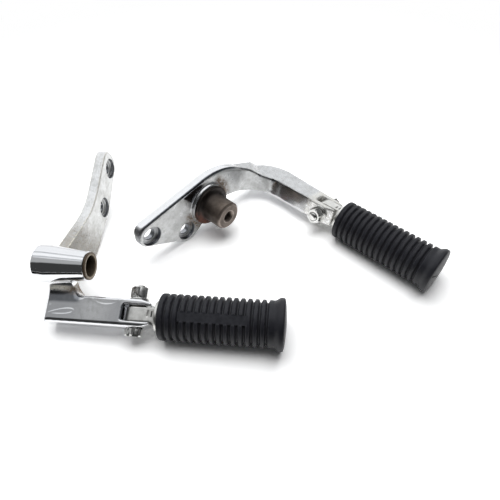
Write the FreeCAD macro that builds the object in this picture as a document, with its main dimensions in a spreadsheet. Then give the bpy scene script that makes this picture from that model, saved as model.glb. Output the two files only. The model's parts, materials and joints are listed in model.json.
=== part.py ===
import FreeCAD, Part
import math
import os
import re
import Sketcher

from FreeCAD import Vector

# A pair of folding motorcycle footpegs on their cast brackets, lying side by side on a floor.
# Each unit is drawn in its own frame: the origin is the hinge centre, +X runs outboard along the peg,
# +Z is the way the peg folds, and Y is the hinge axis, with the mounting strap on the side that
# the unit's hand gives: +1 for the left unit, -1 for the right one.

doc = FreeCAD.newDocument("footpegs")

# Driving dimensions in millimetres and degrees
dimensions = {
    # clevis at the outboard end of each bracket
    "arm_width": 23.2,
    "arm_height": 19.0,
    "slot_width": 13.2,
    "slot_floor": 10.0,
    "ear_tip_wall": 1.8,
    "ear_bevel_start": 4.8,
    "ear_reach": 13.6,
    "ear_hole_clearance": 0.2,
    "edge_round": 1.6,
    # hinge hardware
    "bolt_diameter": 8.0,
    "hex_flats": 13.8,
    "hex_chamfer": 1.1,
    "head_height": 6.6,
    "head_seat_margin": 0.8,
    "nut_height": 9.8,
    "bolt_end": 1.8,
    "thread_clearance": 0.05,
    "washer_diameter": 17.0,
    "washer_thickness": 1.4,
    "spring_washer_diameter": 15.0,
    "spring_washer_sheet": 0.6,
    "spring_washer_dish": 0.5,
    # peg core
    "tongue_width": 11.4,
    "tongue_gap": 0.3,
    "knuckle_radius": 9.0,
    "pivot_clearance": 0.05,
    "collar_gap": 3.0,
    "swing_clearance": 0.6,
    "collar_diameter": 25.8,
    "collar_thickness": 4.2,
    "collar_round": 1.2,
    "rod_diameter": 14.0,
    "rod_setback": 14.0,
    "rod_head_diameter": 20.0,
    "rod_head_length": 4.0,
    "rod_head_round": 1.5,
    "notch_width": 1.2,
    "notch_length": 5.0,
    "notch_depth": 0.8,
    "notch_setback": 4.5,
    # rubber sleeve
    "rubber_length": 102.0,
    "rubber_clearance": 0.05,
    "rib_radius": 19.2,
    "rib_groove_width": 3.5,
    "rib_groove_foot": 1.1,
    "rib_groove_depth": 2.8,
    "rib_grooves": 15,
    "first_groove": 5.8,
    "end_band": 15.7,
    "mouth_round": 1.2,
    "waist_radius": 19.0,
    "lip_radius": 21.5,
    "lip_length": 5.8,
    "lip_slope": 3.0,
    "lip_blend": 3.0,
    "waist_blend": 4.0,
    "lip_round": 1.8,
    "end_crown": 1.6,
    "end_crown_round": 40.0,
    "slit_width": 0.9,
    "slit_depth": 2.2,
    "slit_drop": 2.4,
    "slit_turn": -20.0,
    "panel_start": 16.8,
    "panel_length": 54.6,
    "panel_width": 8.4,
    "panel_height": 18.4,
    "panel_root": 15.0,
    "left_panel_turn": 7.0,
    "right_panel_turn": 165.0,
    # holes shared by both straps
    "bolt_hole_diameter": 11.0,
    "bolt_seat_diameter": 19.4,
    "bolt_seat_depth": 4.0,
    "left_hole_spacing": 41.6,
    "right_hole_spacing": 44.2,
    "strap_thickness": 10.0,
    # left bracket
    "left_arm_length": 75.4,
    "left_arm_skew": 1.0,
    "block_round": 4.0,
    "neck_length": 20.4,
    "neck_fillet": 13.0,
    "neck_foot": 3.4,
    "neck_foot_round": 8.0,
    "neck_blend": 24.0,
    "neck_top_setback": 3.0,
    "tube_offset": 34.6,
    "tube_rise": 16.3,
    "tube_outboard_end": 41.2,
    "tube_length": 41.8,
    "tube_outboard_diameter": 24.2,
    "tube_inboard_diameter": 31.6,
    "left_strap_face": 64.7,
    "left_hole_offset": 153.5,
    "left_hole_drop": 31.4,
    "left_hole_lean": 8.5,
    "left_strap_end": 167.3,
    "left_strap_end_top": 13.6,
    "left_end_top_round": 11.0,
    "left_strap_end_bottom": 40.9,
    "left_end_bottom_round": 12.0,
    "left_strap_waist": 16.4,
    "left_waist_shift": 11.0,
    "left_waist_round": 70.0,
    "left_strap_belly": 49.2,
    "left_belly_shift": 3.0,
    "left_belly_round": 60.0,
    "left_shoulder_reach": 23.7,
    "left_shoulder_rise": 6.8,
    "left_shoulder_round": 25.0,
    "left_root_setback": 9.0,
    "left_root_drop": 5.0,
    "left_head_reach": 2.0,
    "left_head_rise": 4.5,
    # bushings in the left tube
    "bush_diameter": 20.8,
    "bush_bore": 17.7,
    "bush_length": 15.0,
    "bush_flange_diameter": 23.2,
    "bush_flange_thickness": 1.5,
    # right bracket
    "right_strap_face": 85.6,
    "right_hole_offset": 149.9,
    "right_hole_drop": 22.1,
    "right_hole_lean": 14.3,
    "right_strap_end": 165.0,
    "right_tip_rise": 10.9,
    "right_tip_setback": 3.9,
    "right_tip_fall": 8.1,
    "right_tip_round": 9.0,
    "right_heel_reach": 7.4,
    "right_heel_fall": 25.4,
    "right_heel_round": 17.0,
    "right_belly_start": 15.7,
    "right_belly_round": 15.0,
    "bend_outer_radius": 32.0,
    "bend_inner_radius": 32.0,
    "bend_swell": 9.3,
    "crest_offset": 68.9,
    "crest_height": 29.2,
    "crest_round": 70.0,
    "crest_foot": 3.7,
    "crest_foot_round": 20.0,
    "crown_start": 52.0,
    "crown_start_height": 20.9,
    "crown_shoulder": 13.5,
    "crown_shoulder_height": 15.2,
    "crown_foot": 0.5,
    "crown_fade": 10.0,
    "crown_sink": 0.4,
    # pivot post on the right bracket
    "post_offset": 82.2,
    "post_drop": 9.3,
    "post_diameter": 27.8,
    "post_length": 23.0,
    "post_root_round": 3.5,
    "post_chamfer": 1.8,
    "post_flange_diameter": 40.4,
    "post_flange_round": 0.8,
    "post_flange_thickness": 2.8,
    "post_spigot_diameter": 18.0,
    "post_bore_diameter": 9.0,
    "post_bore_depth": 18.0,
    "post_boss_diameter": 43.6,
    "post_boss_height": 3.2,
    # where each unit lies on the floor
    "left_x": -94.7,
    "left_y": -78.92,
    "left_yaw": -5.26,
    "left_roll": 20.9,
    "right_x": 74.96,
    "right_y": 45.3,
    "right_yaw": -42.6,
    "right_roll": -15.5,
}

sizes = doc.addObject("Spreadsheet::Sheet", "sizes")
for row, (alias, size) in enumerate(dimensions.items(), start=1):
    sizes.set(f"A{row}", alias)
    sizes.set(f"B{row}", str(size))
    sizes.setAlias(f"B{row}", alias)
doc.recompute()


def cell(text):
    # an expression in which every sheet name is read from the sheet
    return re.sub(r"[a-z_]+", lambda m: f"sizes.{m[0]}" if m[0] in dimensions else m[0], str(text))


def number(text):
    return float(sizes.evalExpression(cell(text)))


def bind(thing, name, text):
    thing.setExpression(name, cell(text))


# Lengths that several pieces share
collar_face = "(ear_reach + collar_gap)"
rubber_start = "(ear_reach + collar_gap + collar_thickness)"
rubber_end = f"({rubber_start} + rubber_length)"
rod_end = f"({rubber_end} - rod_setback)"
rib_pitch = "((rubber_length - first_groove - end_band) / (rib_grooves - 1))"
first_rib = f"({rubber_start} + first_groove / 2)"
lip_station = f"({rubber_end} - lip_length / 2)"
bolt_side_face = "(arm_width / 2)"
nut_seat = f"({bolt_side_face} + washer_thickness)"
slot_side = "(slot_width / 2)"
tongue_far_face = f"({slot_side} - tongue_gap)"
left_strap_back = "(left_strap_face + strap_thickness)"
right_strap_back = "(right_strap_face + strap_thickness)"
tube_inboard_end = "(tube_outboard_end + tube_length)"

# The peg lies on the floor along its first rib and its lip, which sets the unit's tilt and height
tilt = f"atan((lip_radius - rib_radius) / ({lip_station} - {first_rib}))"
height = f"(rib_radius * cos({tilt}) - {first_rib} * sin({tilt}))"

hands = {"left": 1, "right": -1}

# How near an edge lies to the face it is picked by
near = 0.1


def resting_place(hand):
    spot = f"vector({hand}_x; {hand}_y; {height})"
    turn = f"rotation({hand}_yaw; -{tilt}; {hand}_roll)"
    return cell(f"placement({spot}; {turn})")


def new_body(hand, name):
    body = doc.addObject("PartDesign::Body", f"{hand}_{name}")
    body.Label = f"{hand}_{name}"
    body.setExpression("Placement", resting_place(hand))
    return body


def new_sketch(body, plane, name, offsets=()):
    # a sketch on one of the body's own origin planes, moved in that plane's own directions
    sketch = body.newObject("Sketcher::SketchObject", f"{body.Name}_{name}")
    support = [f for f in body.Origin.OriginFeatures if f.Role == plane][0]
    sketch.AttachmentSupport = [(support, "")]
    sketch.MapMode = "FlatFace"
    for direction, text in offsets:
        bind(sketch, f"AttachmentOffset.Base.{direction}", text)
    return sketch


def pin_down(sketch, geometry, end, x, y):
    for kind, text in (("DistanceX", x), ("DistanceY", y)):
        index = sketch.addConstraint(Sketcher.Constraint(kind, -1, 1, geometry, end, number(text)))
        bind(sketch, f"Constraints[{index}]", text)


def set_radius(sketch, geometry, text):
    index = sketch.addConstraint(Sketcher.Constraint("Radius", geometry, number(text)))
    bind(sketch, f"Constraints[{index}]", text)


def circle(sketch, x, y, radius):
    centre = Vector(number(x), number(y), 0)
    geometry = sketch.addGeometry(Part.Circle(centre, Vector(0, 0, 1), number(radius)))
    pin_down(sketch, geometry, 3, x, y)
    set_radius(sketch, geometry, radius)


def outline(sketch, corners):
    # a closed outline through its corners; a corner with a third entry is rounded to that radius
    points = [Vector(number(corner[0]), number(corner[1]), 0) for corner in corners]
    count = len(points)
    entries, exits, arcs = [], [], []
    for here, corner in enumerate(corners):
        point = points[here]
        if len(corner) == 2:
            entries.append(point)
            exits.append(point)
            arcs.append(None)
            continue
        radius = number(corner[2])
        inward = (points[here - 1] - point).normalize()
        outward = (points[(here + 1) % count] - point).normalize()
        half = inward.getAngle(outward) / 2
        entries.append(point + inward * (radius / math.tan(half)))
        exits.append(point + outward * (radius / math.tan(half)))
        centre = point + (inward + outward).normalize() * (radius / math.sin(half))
        turns_left = inward.cross(outward).z < 0
        ends = (entries[here], exits[here]) if turns_left else (exits[here], entries[here])
        angles = [math.atan2(end.y - centre.y, end.x - centre.x) for end in ends]
        arcs.append((Part.ArcOfCircle(Part.Circle(centre, Vector(0, 0, 1), radius), *angles), turns_left))
    first = sketch.GeometryCount
    for here in range(count):
        sketch.addGeometry(Part.LineSegment(exits[here], entries[(here + 1) % count]))
    for here, corner in enumerate(corners):
        before = first + (here - 1) % count
        after = first + here
        if arcs[here] is None:
            sketch.addConstraint(Sketcher.Constraint("Coincident", before, 2, after, 1))
            pin_down(sketch, after, 1, corner[0], corner[1])
            continue
        arc, turns_left = arcs[here]
        bow = sketch.addGeometry(arc)
        start, end = (1, 2) if turns_left else (2, 1)
        sketch.addConstraint(Sketcher.Constraint("Tangent", before, 2, bow, start))
        sketch.addConstraint(Sketcher.Constraint("Tangent", bow, end, after, 1))
        tip = sketch.addGeometry(Part.Point(points[here]), True)
        sketch.addConstraint(Sketcher.Constraint("PointOnObject", tip, 1, before))
        sketch.addConstraint(Sketcher.Constraint("PointOnObject", tip, 1, after))
        pin_down(sketch, tip, 1, corner[0], corner[1])
        set_radius(sketch, bow, corner[2])


def box_outline(sketch, low_x, high_x, low_y, high_y):
    outline(sketch, [(low_x, low_y), (high_x, low_y), (high_x, high_y), (low_x, high_y)])


def hexagon(sketch, flats):
    corner = f"({flats}) / sqrt(3)"
    turns = [(f"{corner} * cos({60 * k})", f"{corner} * sin({60 * k})") for k in range(6)]
    outline(sketch, turns)


def pad(body, sketch, length, backwards=False):
    feature = body.newObject("PartDesign::Pad", f"{sketch.Name}_pad")
    feature.Profile = sketch
    bind(feature, "Length", length)
    feature.Reversed = backwards
    doc.recompute()
    return feature


def cut(body, sketch, length=None, backwards=False):
    # a pocket of the given depth, or right through both ways; it has to take material away
    before = body.Shape.Volume
    feature = body.newObject("PartDesign::Pocket", f"{sketch.Name}_cut")
    feature.Profile = sketch
    if length is None:
        feature.SideType = "Symmetric"
        feature.Type = "ThroughAll"
    else:
        bind(feature, "Length", length)
        feature.Reversed = backwards
    doc.recompute()
    if body.Shape.Volume >= before:
        raise RuntimeError(f"{feature.Name} cuts nothing")
    return feature


def spin(body, sketch, axis, kind="Revolution"):
    feature = body.newObject(f"PartDesign::{kind}", f"{sketch.Name}_turned")
    feature.Profile = sketch
    feature.ReferenceAxis = (sketch, [axis])
    feature.Angle = 360
    doc.recompute()
    return feature


def soften(body, radius, wanted):
    # rounds every edge of the body so far that the test accepts
    names = [f"Edge{n}" for n, edge in enumerate(body.Shape.Edges, start=1) if wanted(edge)]
    base = body.Tip
    feature = body.newObject("PartDesign::Fillet", f"{body.Name}_soft{len(body.Group)}")
    feature.Base = (base, names)
    bind(feature, "Radius", radius)
    doc.recompute()
    return feature


def edge_ends(body, edge):
    # both ends of an edge in the unit's own frame
    home = body.Placement.inverse()
    return [home.multVec(vertex.Point) for vertex in (edge.Vertexes[0], edge.Vertexes[-1])]


def arm_edges(body, corners):
    # a test for the straight edges along the named corners of the arm, given as the signs of y and z
    def accepts(edge):
        start, end = edge_ends(body, edge)
        along = end - start
        on_side = abs(start.y) > number("arm_width / 2") - near
        runs = abs(along.x) > number("arm_width") and abs(along.z) < near
        return on_side and runs and (math.copysign(1, start.y), math.copysign(1, start.z)) in corners

    return accepts


def block_edges(body):
    # a test for the front and the free end of the left arm's top
    front = arm_edges(body, [(-1, 1)])

    def accepts(edge):
        ends = edge_ends(body, edge)
        on_top = all(end.z > number("arm_height / 2") - near for end in ends)
        at_end = all(end.x < number("left_arm_skew - left_arm_length") + near for end in ends)
        before_tube = all(end.y < number("tube_offset") - near for end in ends)
        return front(edge) or (on_top and at_end and before_tube)

    return accepts


# Brackets

def ear_corners(side):
    # the bevelled end of the clevis in plan, from one ear to the other
    tip = "(slot_width / 2 + ear_tip_wall)"
    near = [("ear_bevel_start", f"({side}) * arm_width / 2"), ("ear_reach", f"({side}) * {tip}")]
    far = [("ear_reach", f"-({side}) * {tip}"), ("ear_bevel_start", f"-({side}) * arm_width / 2")]
    return near + far


def cut_outside_plan(body, name, plan, reach):
    # keeps only what lies inside the plan view
    sketch = new_sketch(body, "XY_Plane", name)
    box_outline(sketch, f"-{reach}", reach, f"-{reach}", reach)
    outline(sketch, plan)
    cut(body, sketch)


def cut_clevis(body):
    slot = new_sketch(body, "XY_Plane", "slot")
    box_outline(slot, "-slot_floor", "2 * ear_reach", "-slot_width / 2", "slot_width / 2")
    cut(body, slot)
    pivot = new_sketch(body, "XZ_Plane", "pivot")
    circle(pivot, "0", "0", "bolt_diameter / 2 + ear_hole_clearance")
    cut(body, pivot)
    # the ears are round about the hinge on top, so that the collar swings past them
    crown = new_sketch(body, "XZ_Plane", "crown")
    swing = f"({collar_face} - swing_clearance)"
    aside = "-swing_clearance"
    outline(crown, [(aside, f"2 * {swing}"), (aside, swing), (swing, swing, swing), (swing, aside),
                    (f"2 * {swing}", aside), (f"2 * {swing}", f"2 * {swing}")])
    cut(body, crown)


def drill_strap(body, hand, face):
    side = hands[hand]
    seats = new_sketch(body, "YZ_Plane", "seats", [("z", f"-{face}")])
    holes = new_sketch(body, "YZ_Plane", "holes", [("z", f"-{face}")])
    for step in (0, 1):
        away = f"({hand}_hole_offset - {step} * {hand}_hole_spacing * cos({hand}_hole_lean))"
        drop = f"-({hand}_hole_drop + {step} * {hand}_hole_spacing * sin({hand}_hole_lean))"
        circle(seats, f"({side}) * {away}", drop, "bolt_seat_diameter / 2")
        circle(holes, f"({side}) * {away}", drop, "bolt_hole_diameter / 2")
    cut(body, seats, "bolt_seat_depth")
    cut(body, holes)


def left_bracket():
    body = new_body("left", "bracket")
    half = "arm_height / 2"
    # side view of the arm and the neck that climbs to the tube
    side = new_sketch(body, "YZ_Plane", "side", [("z", "-left_arm_length")])
    outline(side, [("-arm_width / 2", f"-{half}"),
                   ("arm_width / 2 + neck_foot", f"-{half}", "neck_foot_round"),
                   ("tube_offset", "tube_rise - tube_outboard_diameter / 4"),
                   ("tube_offset - neck_top_setback", "tube_rise + tube_outboard_diameter / 3"),
                   ("arm_width / 2 + neck_foot", half, "neck_blend"), ("-arm_width / 2", half)])
    pad(body, side, "left_arm_length + ear_reach")
    neck_edge = "-(left_arm_length - neck_length)"
    plan = ear_corners(1)[2:] + [("left_arm_skew - left_arm_length", "-arm_width / 2"),
                                ("-left_arm_length", "tube_offset"), (neck_edge, "tube_offset"),
                                (neck_edge, "arm_width / 2", "neck_fillet")] + ear_corners(1)[:2]
    cut_outside_plan(body, "plan", plan, "2 * left_arm_length")
    soften(body, "edge_round", arm_edges(body, [(1, 1), (1, -1), (-1, -1)]))
    soften(body, "block_round", block_edges(body))
    # tapered tube that carries a lever shaft
    tube = new_sketch(body, "XY_Plane", "tube", [("y", "tube_offset"), ("z", "tube_rise")])
    outline(tube, [(f"-{tube_inboard_end}", "0"), ("-tube_outboard_end", "0"),
                   ("-tube_outboard_end", "tube_outboard_diameter / 2"),
                   (f"-{left_strap_back}", "tube_inboard_diameter / 2"),
                   (f"-{tube_inboard_end}", "tube_inboard_diameter / 2")])
    spin(body, tube, "H_Axis")
    # mounting strap, wide at the tube and narrow at its bolt holes
    strap = new_sketch(body, "YZ_Plane", "strap", [("z", f"-{left_strap_back}")])
    inner_hole = "left_hole_offset - left_hole_spacing"
    outline(strap, [("tube_offset - left_root_setback", "tube_rise - left_root_drop"),
                    ("tube_offset + left_shoulder_reach", "left_shoulder_rise - left_strap_belly",
                     "left_shoulder_round"),
                    (f"{inner_hole} + left_belly_shift", "-left_strap_belly", "left_belly_round"),
                    ("left_strap_end", "-left_strap_end_bottom", "left_end_bottom_round"),
                    ("left_strap_end", "-left_strap_end_top", "left_end_top_round"),
                    (f"{inner_hole} - left_waist_shift", "-left_strap_waist", "left_waist_round"),
                    ("tube_offset + left_head_reach", "tube_rise + left_head_rise")])
    pad(body, strap, "strap_thickness")
    bore = new_sketch(body, "YZ_Plane", "bore")
    circle(bore, "tube_offset", "tube_rise", "bush_diameter / 2")
    cut(body, bore)
    drill_strap(body, "left", "left_strap_face")
    cut_clevis(body)
    return body


def raise_bend(body):
    # the outside of the bend stands higher than its inside: a crown that falls away from the back
    foot_height = "arm_height / 2 - crown_sink"
    back = new_sketch(body, "YZ_Plane", "crown_back", [("z", f"-{right_strap_back}")])
    outline(back, [("-crown_start", "0"), ("-crown_foot", "0"), ("-crown_foot", foot_height),
                   ("-crown_shoulder", "crown_shoulder_height"), ("-crown_start", "crown_start_height")])
    # the front of the crown is sunk in the casting, where it runs out
    inner_foot = "-arm_width / 2 - crest_foot"
    middle = f"({inner_foot} - crown_start) / 2"
    middle_height = "(arm_height / 2 + crown_start_height) / 2 - 2 * crown_sink"
    front = new_sketch(body, "YZ_Plane", "crown_front", [("z", "crown_fade - right_strap_face")])
    outline(front, [("-crown_start", "0"), (inner_foot, "0"), (inner_foot, foot_height),
                    (middle, middle_height), ("-crown_start", "crown_start_height")])
    crown = body.newObject("PartDesign::AdditiveLoft", "right_crown")
    crown.Profile = back
    crown.Sections = [front]
    crown.Ruled = True
    doc.recompute()


def right_bracket():
    body = new_body("right", "bracket")
    half = "arm_height / 2"
    # side view: a level arm, a crest where it bends and a strap that falls to its bolt holes
    side = new_sketch(body, "YZ_Plane", "side", [("z", f"-{right_strap_back}")])
    bend_edge = "(arm_width / 2 + bend_swell)"
    outline(side, [(bend_edge, f"-{half}"), (bend_edge, half),
                   ("-arm_width / 2 - crest_foot", half, "crest_foot_round"),
                   ("-crest_offset", "crest_height", "crest_round"),
                   ("-right_strap_end", "right_tip_rise - right_hole_drop", "right_tip_round"),
                   ("right_tip_setback - right_strap_end", "-right_tip_fall - right_hole_drop",
                    "right_tip_round"),
                   ("right_heel_reach - right_hole_offset + right_hole_spacing",
                    "-right_heel_fall - right_hole_drop", "right_heel_round"),
                   ("right_belly_start - post_offset", f"-{half}", "right_belly_round")])
    pad(body, side, f"{right_strap_back} + ear_reach")
    ears = ear_corners(-1)
    beyond_tip = "-right_strap_end - strap_thickness"
    plan = ears[2:] + [(f"-{right_strap_back}", bend_edge, "bend_outer_radius"),
                       (f"-{right_strap_back}", beyond_tip),
                       ("-right_strap_face", beyond_tip),
                       ("-right_strap_face", "-arm_width / 2", "bend_inner_radius")] + ears[:2]
    cut_outside_plan(body, "plan", plan, "2 * right_strap_end")
    soften(body, "edge_round", arm_edges(body, [(1, 1), (1, -1), (-1, 1), (-1, -1)]))
    raise_bend(body)
    cut_outside_plan(body, "crown_plan", plan, "2 * right_strap_end")
    boss = new_sketch(body, "YZ_Plane", "boss", [("z", "-right_strap_face - strap_thickness / 2")])
    circle(boss, "-post_offset", "-post_drop", "post_boss_diameter / 2")
    pad(body, boss, "strap_thickness / 2 + post_boss_height")
    socket = new_sketch(body, "YZ_Plane", "socket")
    circle(socket, "-post_offset", "-post_drop", "post_spigot_diameter / 2")
    cut(body, socket)
    drill_strap(body, "right", "right_strap_face")
    cut_clevis(body)
    # a flat seat for the bolt head in the side of the arm that swells
    seat = new_sketch(body, "XZ_Plane", "seat", [("z", f"-{bolt_side_face}")])
    circle(seat, "0", "0", "hex_flats / sqrt(3) + head_seat_margin")
    cut(body, seat, "bend_swell")
    return body


# Pegs

def peg_core(hand):
    # one forging: the hinge tongue, the collar and the rod that the rubber is pushed over
    body = new_body(hand, "peg_core")
    side = hands[hand]
    shape = new_sketch(body, "XY_Plane", "profile")
    head_end = f"({rod_end} + rod_head_length)"
    outline(shape, [(collar_face, "0"), (head_end, "0"),
                    (head_end, "rod_head_diameter / 2", "rod_head_round"),
                    (rod_end, "rod_head_diameter / 2"), (rod_end, "rod_diameter / 2"),
                    (rubber_start, "rod_diameter / 2"), (rubber_start, "collar_diameter / 2"),
                    (collar_face, "collar_diameter / 2", "collar_round")])
    spin(body, shape, "H_Axis")
    near_face = f"(tongue_width - {tongue_far_face})"
    knuckle = new_sketch(body, "XZ_Plane", "knuckle", [("z", f"-({side}) * {near_face}")])
    circle(knuckle, "0", "0", "knuckle_radius")
    pad(body, knuckle, "tongue_width", side < 0)
    tongue = new_sketch(body, "XZ_Plane", "tongue", [("z", f"-({side}) * {near_face}")])
    box_outline(tongue, "0", f"{collar_face} + collar_thickness / 2", "-knuckle_radius", "knuckle_radius")
    pad(body, tongue, "tongue_width", side < 0)
    pivot = new_sketch(body, "XZ_Plane", "pivot")
    circle(pivot, "0", "0", "bolt_diameter / 2 + pivot_clearance")
    cut(body, pivot)
    notch = new_sketch(body, "XY_Plane", "notch", [("z", "knuckle_radius")])
    notch_end = f"{collar_face} - notch_setback"
    box_outline(notch, f"{notch_end} - notch_width", notch_end, "-notch_length / 2", "notch_length / 2")
    cut(body, notch, "notch_depth")


def peg_rubber(hand):
    body = new_body(hand, "peg_rubber")
    neck_end = f"({rod_end} - rubber_clearance)"
    cavity_end = f"({rod_end} + rod_head_length + rubber_clearance)"
    rod_fit = "(rod_diameter / 2 + rubber_clearance)"
    head_fit = "(rod_head_diameter / 2 + rubber_clearance)"
    last_groove = f"({rubber_end} - end_band)"
    shape = new_sketch(body, "XY_Plane", "profile")
    outline(shape, [(rubber_start, rod_fit), (neck_end, rod_fit), (neck_end, head_fit),
                    (cavity_end, head_fit), (cavity_end, "0"), (rubber_end, "0"),
                    (rubber_end, "lip_radius / 2", "end_crown_round"),
                    (f"{rubber_end} - end_crown", "lip_radius", "lip_round"),
                    (f"{rubber_end} - lip_length", "lip_radius", "lip_blend"),
                    (f"{rubber_end} - lip_length - lip_slope", "waist_radius", "waist_blend"),
                    (last_groove, "rib_radius"), (rubber_start, "rib_radius", "mouth_round")])
    spin(body, shape, "H_Axis")
    # one groove between ribs, repeated along the sleeve
    groove_at = f"{rubber_start} + first_groove"
    groove = new_sketch(body, "XY_Plane", "groove")
    mouth = "(rib_groove_width - rib_groove_foot / 2)"
    outline(groove, [(f"{groove_at} - rib_groove_foot / 2", "rib_radius - rib_groove_depth"),
                     (f"{groove_at} + rib_groove_foot / 2", "rib_radius - rib_groove_depth"),
                     (f"{groove_at} + {mouth}", "rib_radius + rib_groove_depth"),
                     (f"{groove_at} - {mouth}", "rib_radius + rib_groove_depth")])
    ring = spin(body, groove, "H_Axis", "Groove")
    ribs = body.newObject("PartDesign::LinearPattern", f"{hand}_ribs")
    ribs.Originals = [ring]
    ribs.Direction = (groove, ["H_Axis"])
    ribs.Mode = "Spacing"
    bind(ribs, "Offset", rib_pitch)
    bind(ribs, "Occurrences", "rib_grooves")
    body.Tip = ribs
    doc.recompute()
    # the flat panel that breaks the ribs
    turn = f"{hand}_panel_turn"
    seat = f"rotation(vector(1; 0; 0); {turn})"
    panel = new_sketch(body, "XY_Plane", "panel")
    bind(panel, "AttachmentOffset",
         f"placement(vector(0; -panel_root * sin({turn}); panel_root * cos({turn})); {seat})")
    shave = new_sketch(body, "XY_Plane", "shave")
    bind(shave, "AttachmentOffset",
         f"placement(vector(0; -panel_height * sin({turn}); panel_height * cos({turn})); {seat})")
    panel_from = f"{rubber_start} + panel_start"
    panel_to = f"{panel_from} + panel_length"
    for sketch in (panel, shave):
        box_outline(sketch, panel_from, panel_to, "-panel_width / 2", "panel_width / 2")
    pad(body, panel, "panel_height - panel_root")
    cut(body, shave, "rib_radius", True)
    # a thin slit across the closed end
    slit = new_sketch(body, "YZ_Plane", "slit")
    bind(slit, "AttachmentOffset",
         f"placement(vector(0; 0; {rubber_end}); rotation(vector(0; 0; 1); slit_turn))")
    slit_edges = ("-slit_drop - slit_width / 2", "slit_width / 2 - slit_drop")
    box_outline(slit, "-lip_radius", "lip_radius", *slit_edges)
    cut(body, slit, "slit_depth")


# Hinge hardware, drawn on the hinge axis

def ring_pad(body, name, outer_y, length, inner, outer, side):
    # a ring between two stations on the hinge axis, measured from its outer end
    sketch = new_sketch(body, "XZ_Plane", name, [("z", f"-({side}) * ({outer_y})")])
    circle(sketch, "0", "0", outer)
    circle(sketch, "0", "0", inner)
    pad(body, sketch, length, side < 0)


def chamfer_hex(body, name, outer_y, side):
    # turns the corners of a hexagon down at its outer end
    rim = "(hex_flats / sqrt(3))"
    sketch = new_sketch(body, "XY_Plane", name)
    outline(sketch, [(f"{rim} - hex_chamfer", f"({side}) * ({outer_y})"),
                     (f"{rim} + hex_chamfer", f"({side}) * ({outer_y} - hex_chamfer)"),
                     (f"{rim} + hex_chamfer", f"({side}) * ({outer_y} + hex_chamfer)"),
                     (f"{rim} - hex_chamfer", f"({side}) * ({outer_y} + hex_chamfer)")])
    spin(body, sketch, "V_Axis", "Groove")


def hinge_bolt(hand):
    body = new_body(hand, "hinge_bolt")
    side = hands[hand]
    head_end = f"({bolt_side_face} + head_height)"
    tail_end = f"({nut_seat} + nut_height + bolt_end)"
    head = new_sketch(body, "XZ_Plane", "head", [("z", f"({side}) * {head_end}")])
    hexagon(head, "hex_flats")
    pad(body, head, "head_height", side > 0)
    shank = new_sketch(body, "XZ_Plane", "shank", [("z", f"-({side}) * {tail_end}")])
    circle(shank, "0", "0", "bolt_diameter / 2")
    pad(body, shank, f"{tail_end} + {bolt_side_face} + head_height / 2", side < 0)
    chamfer_hex(body, "chamfer", head_end, -side)


def hinge_nut(hand):
    body = new_body(hand, "hinge_nut")
    side = hands[hand]
    nut_end = f"({nut_seat} + nut_height)"
    nut = new_sketch(body, "XZ_Plane", "nut", [("z", f"-({side}) * {nut_end}")])
    hexagon(nut, "hex_flats")
    circle(nut, "0", "0", "bolt_diameter / 2 + thread_clearance")
    pad(body, nut, "nut_height", side < 0)
    chamfer_hex(body, "chamfer", nut_end, side)


def hinge_washer(hand):
    body = new_body(hand, "hinge_washer")
    hole = "bolt_diameter / 2 + ear_hole_clearance"
    ring_pad(body, "ring", nut_seat, "washer_thickness", hole, "washer_diameter / 2", hands[hand])


def spring_washer(hand):
    # a dished spring between the tongue and the ear on the nut side
    body = new_body(hand, "spring_washer")
    side = hands[hand]
    sketch = new_sketch(body, "XY_Plane", "ring")
    hole = "(bolt_diameter / 2 + ear_hole_clearance)"
    rim = "(spring_washer_diameter / 2)"
    outline(sketch, [(hole, f"({side}) * ({slot_side} - spring_washer_sheet - spring_washer_dish)"),
                     (rim, f"({side}) * ({slot_side} - spring_washer_sheet)"),
                     (rim, f"({side}) * {slot_side}"),
                     (hole, f"({side}) * ({slot_side} - spring_washer_dish)")])
    spin(body, sketch, "V_Axis")


# Bushings of the left tube and the pivot post of the right bracket

def bushing(name, end, outward):
    # a flanged bushing pressed into one end of the tube, its flange on the tube's end face
    body = new_body("left", name)
    sketch = new_sketch(body, "XY_Plane", "profile", [("y", "tube_offset"), ("z", "tube_rise")])
    tip = f"({outward}) * bush_flange_thickness - {end}"
    outline(sketch, [(f"-{end} - ({outward}) * bush_length", "bush_bore / 2"), (tip, "bush_bore / 2"),
                     (tip, "bush_flange_diameter / 2"), (f"-{end}", "bush_flange_diameter / 2"),
                     (f"-{end}", "bush_diameter / 2"),
                     (f"-{end} - ({outward}) * bush_length", "bush_diameter / 2")])
    spin(body, sketch, "H_Axis")


def pivot_post():
    # turned post with a flange, pressed into the strap from its outboard face
    body = new_body("right", "pivot_post")
    seat = "(post_boss_height - right_strap_face)"
    neck = f"({seat} + post_flange_thickness)"
    tip = f"({neck} + post_length)"
    profile = new_sketch(body, "XY_Plane", "profile", [("y", "-post_offset"), ("z", "-post_drop")])
    outline(profile, [(f"-{right_strap_back}", "0"), (tip, "0"), (tip, "post_diameter / 2 - post_chamfer"),
                      (f"{tip} - post_chamfer", "post_diameter / 2"),
                      (neck, "post_diameter / 2", "post_root_round"),
                      (neck, "post_flange_diameter / 2", "post_flange_round"),
                      (seat, "post_flange_diameter / 2"), (seat, "post_spigot_diameter / 2"),
                      (f"-{right_strap_back}", "post_spigot_diameter / 2")])
    spin(body, profile, "H_Axis")
    tapping = new_sketch(body, "YZ_Plane", "tapping", [("z", tip)])
    circle(tapping, "-post_offset", "-post_drop", "post_bore_diameter / 2")
    cut(body, tapping, "post_bore_depth")


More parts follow.
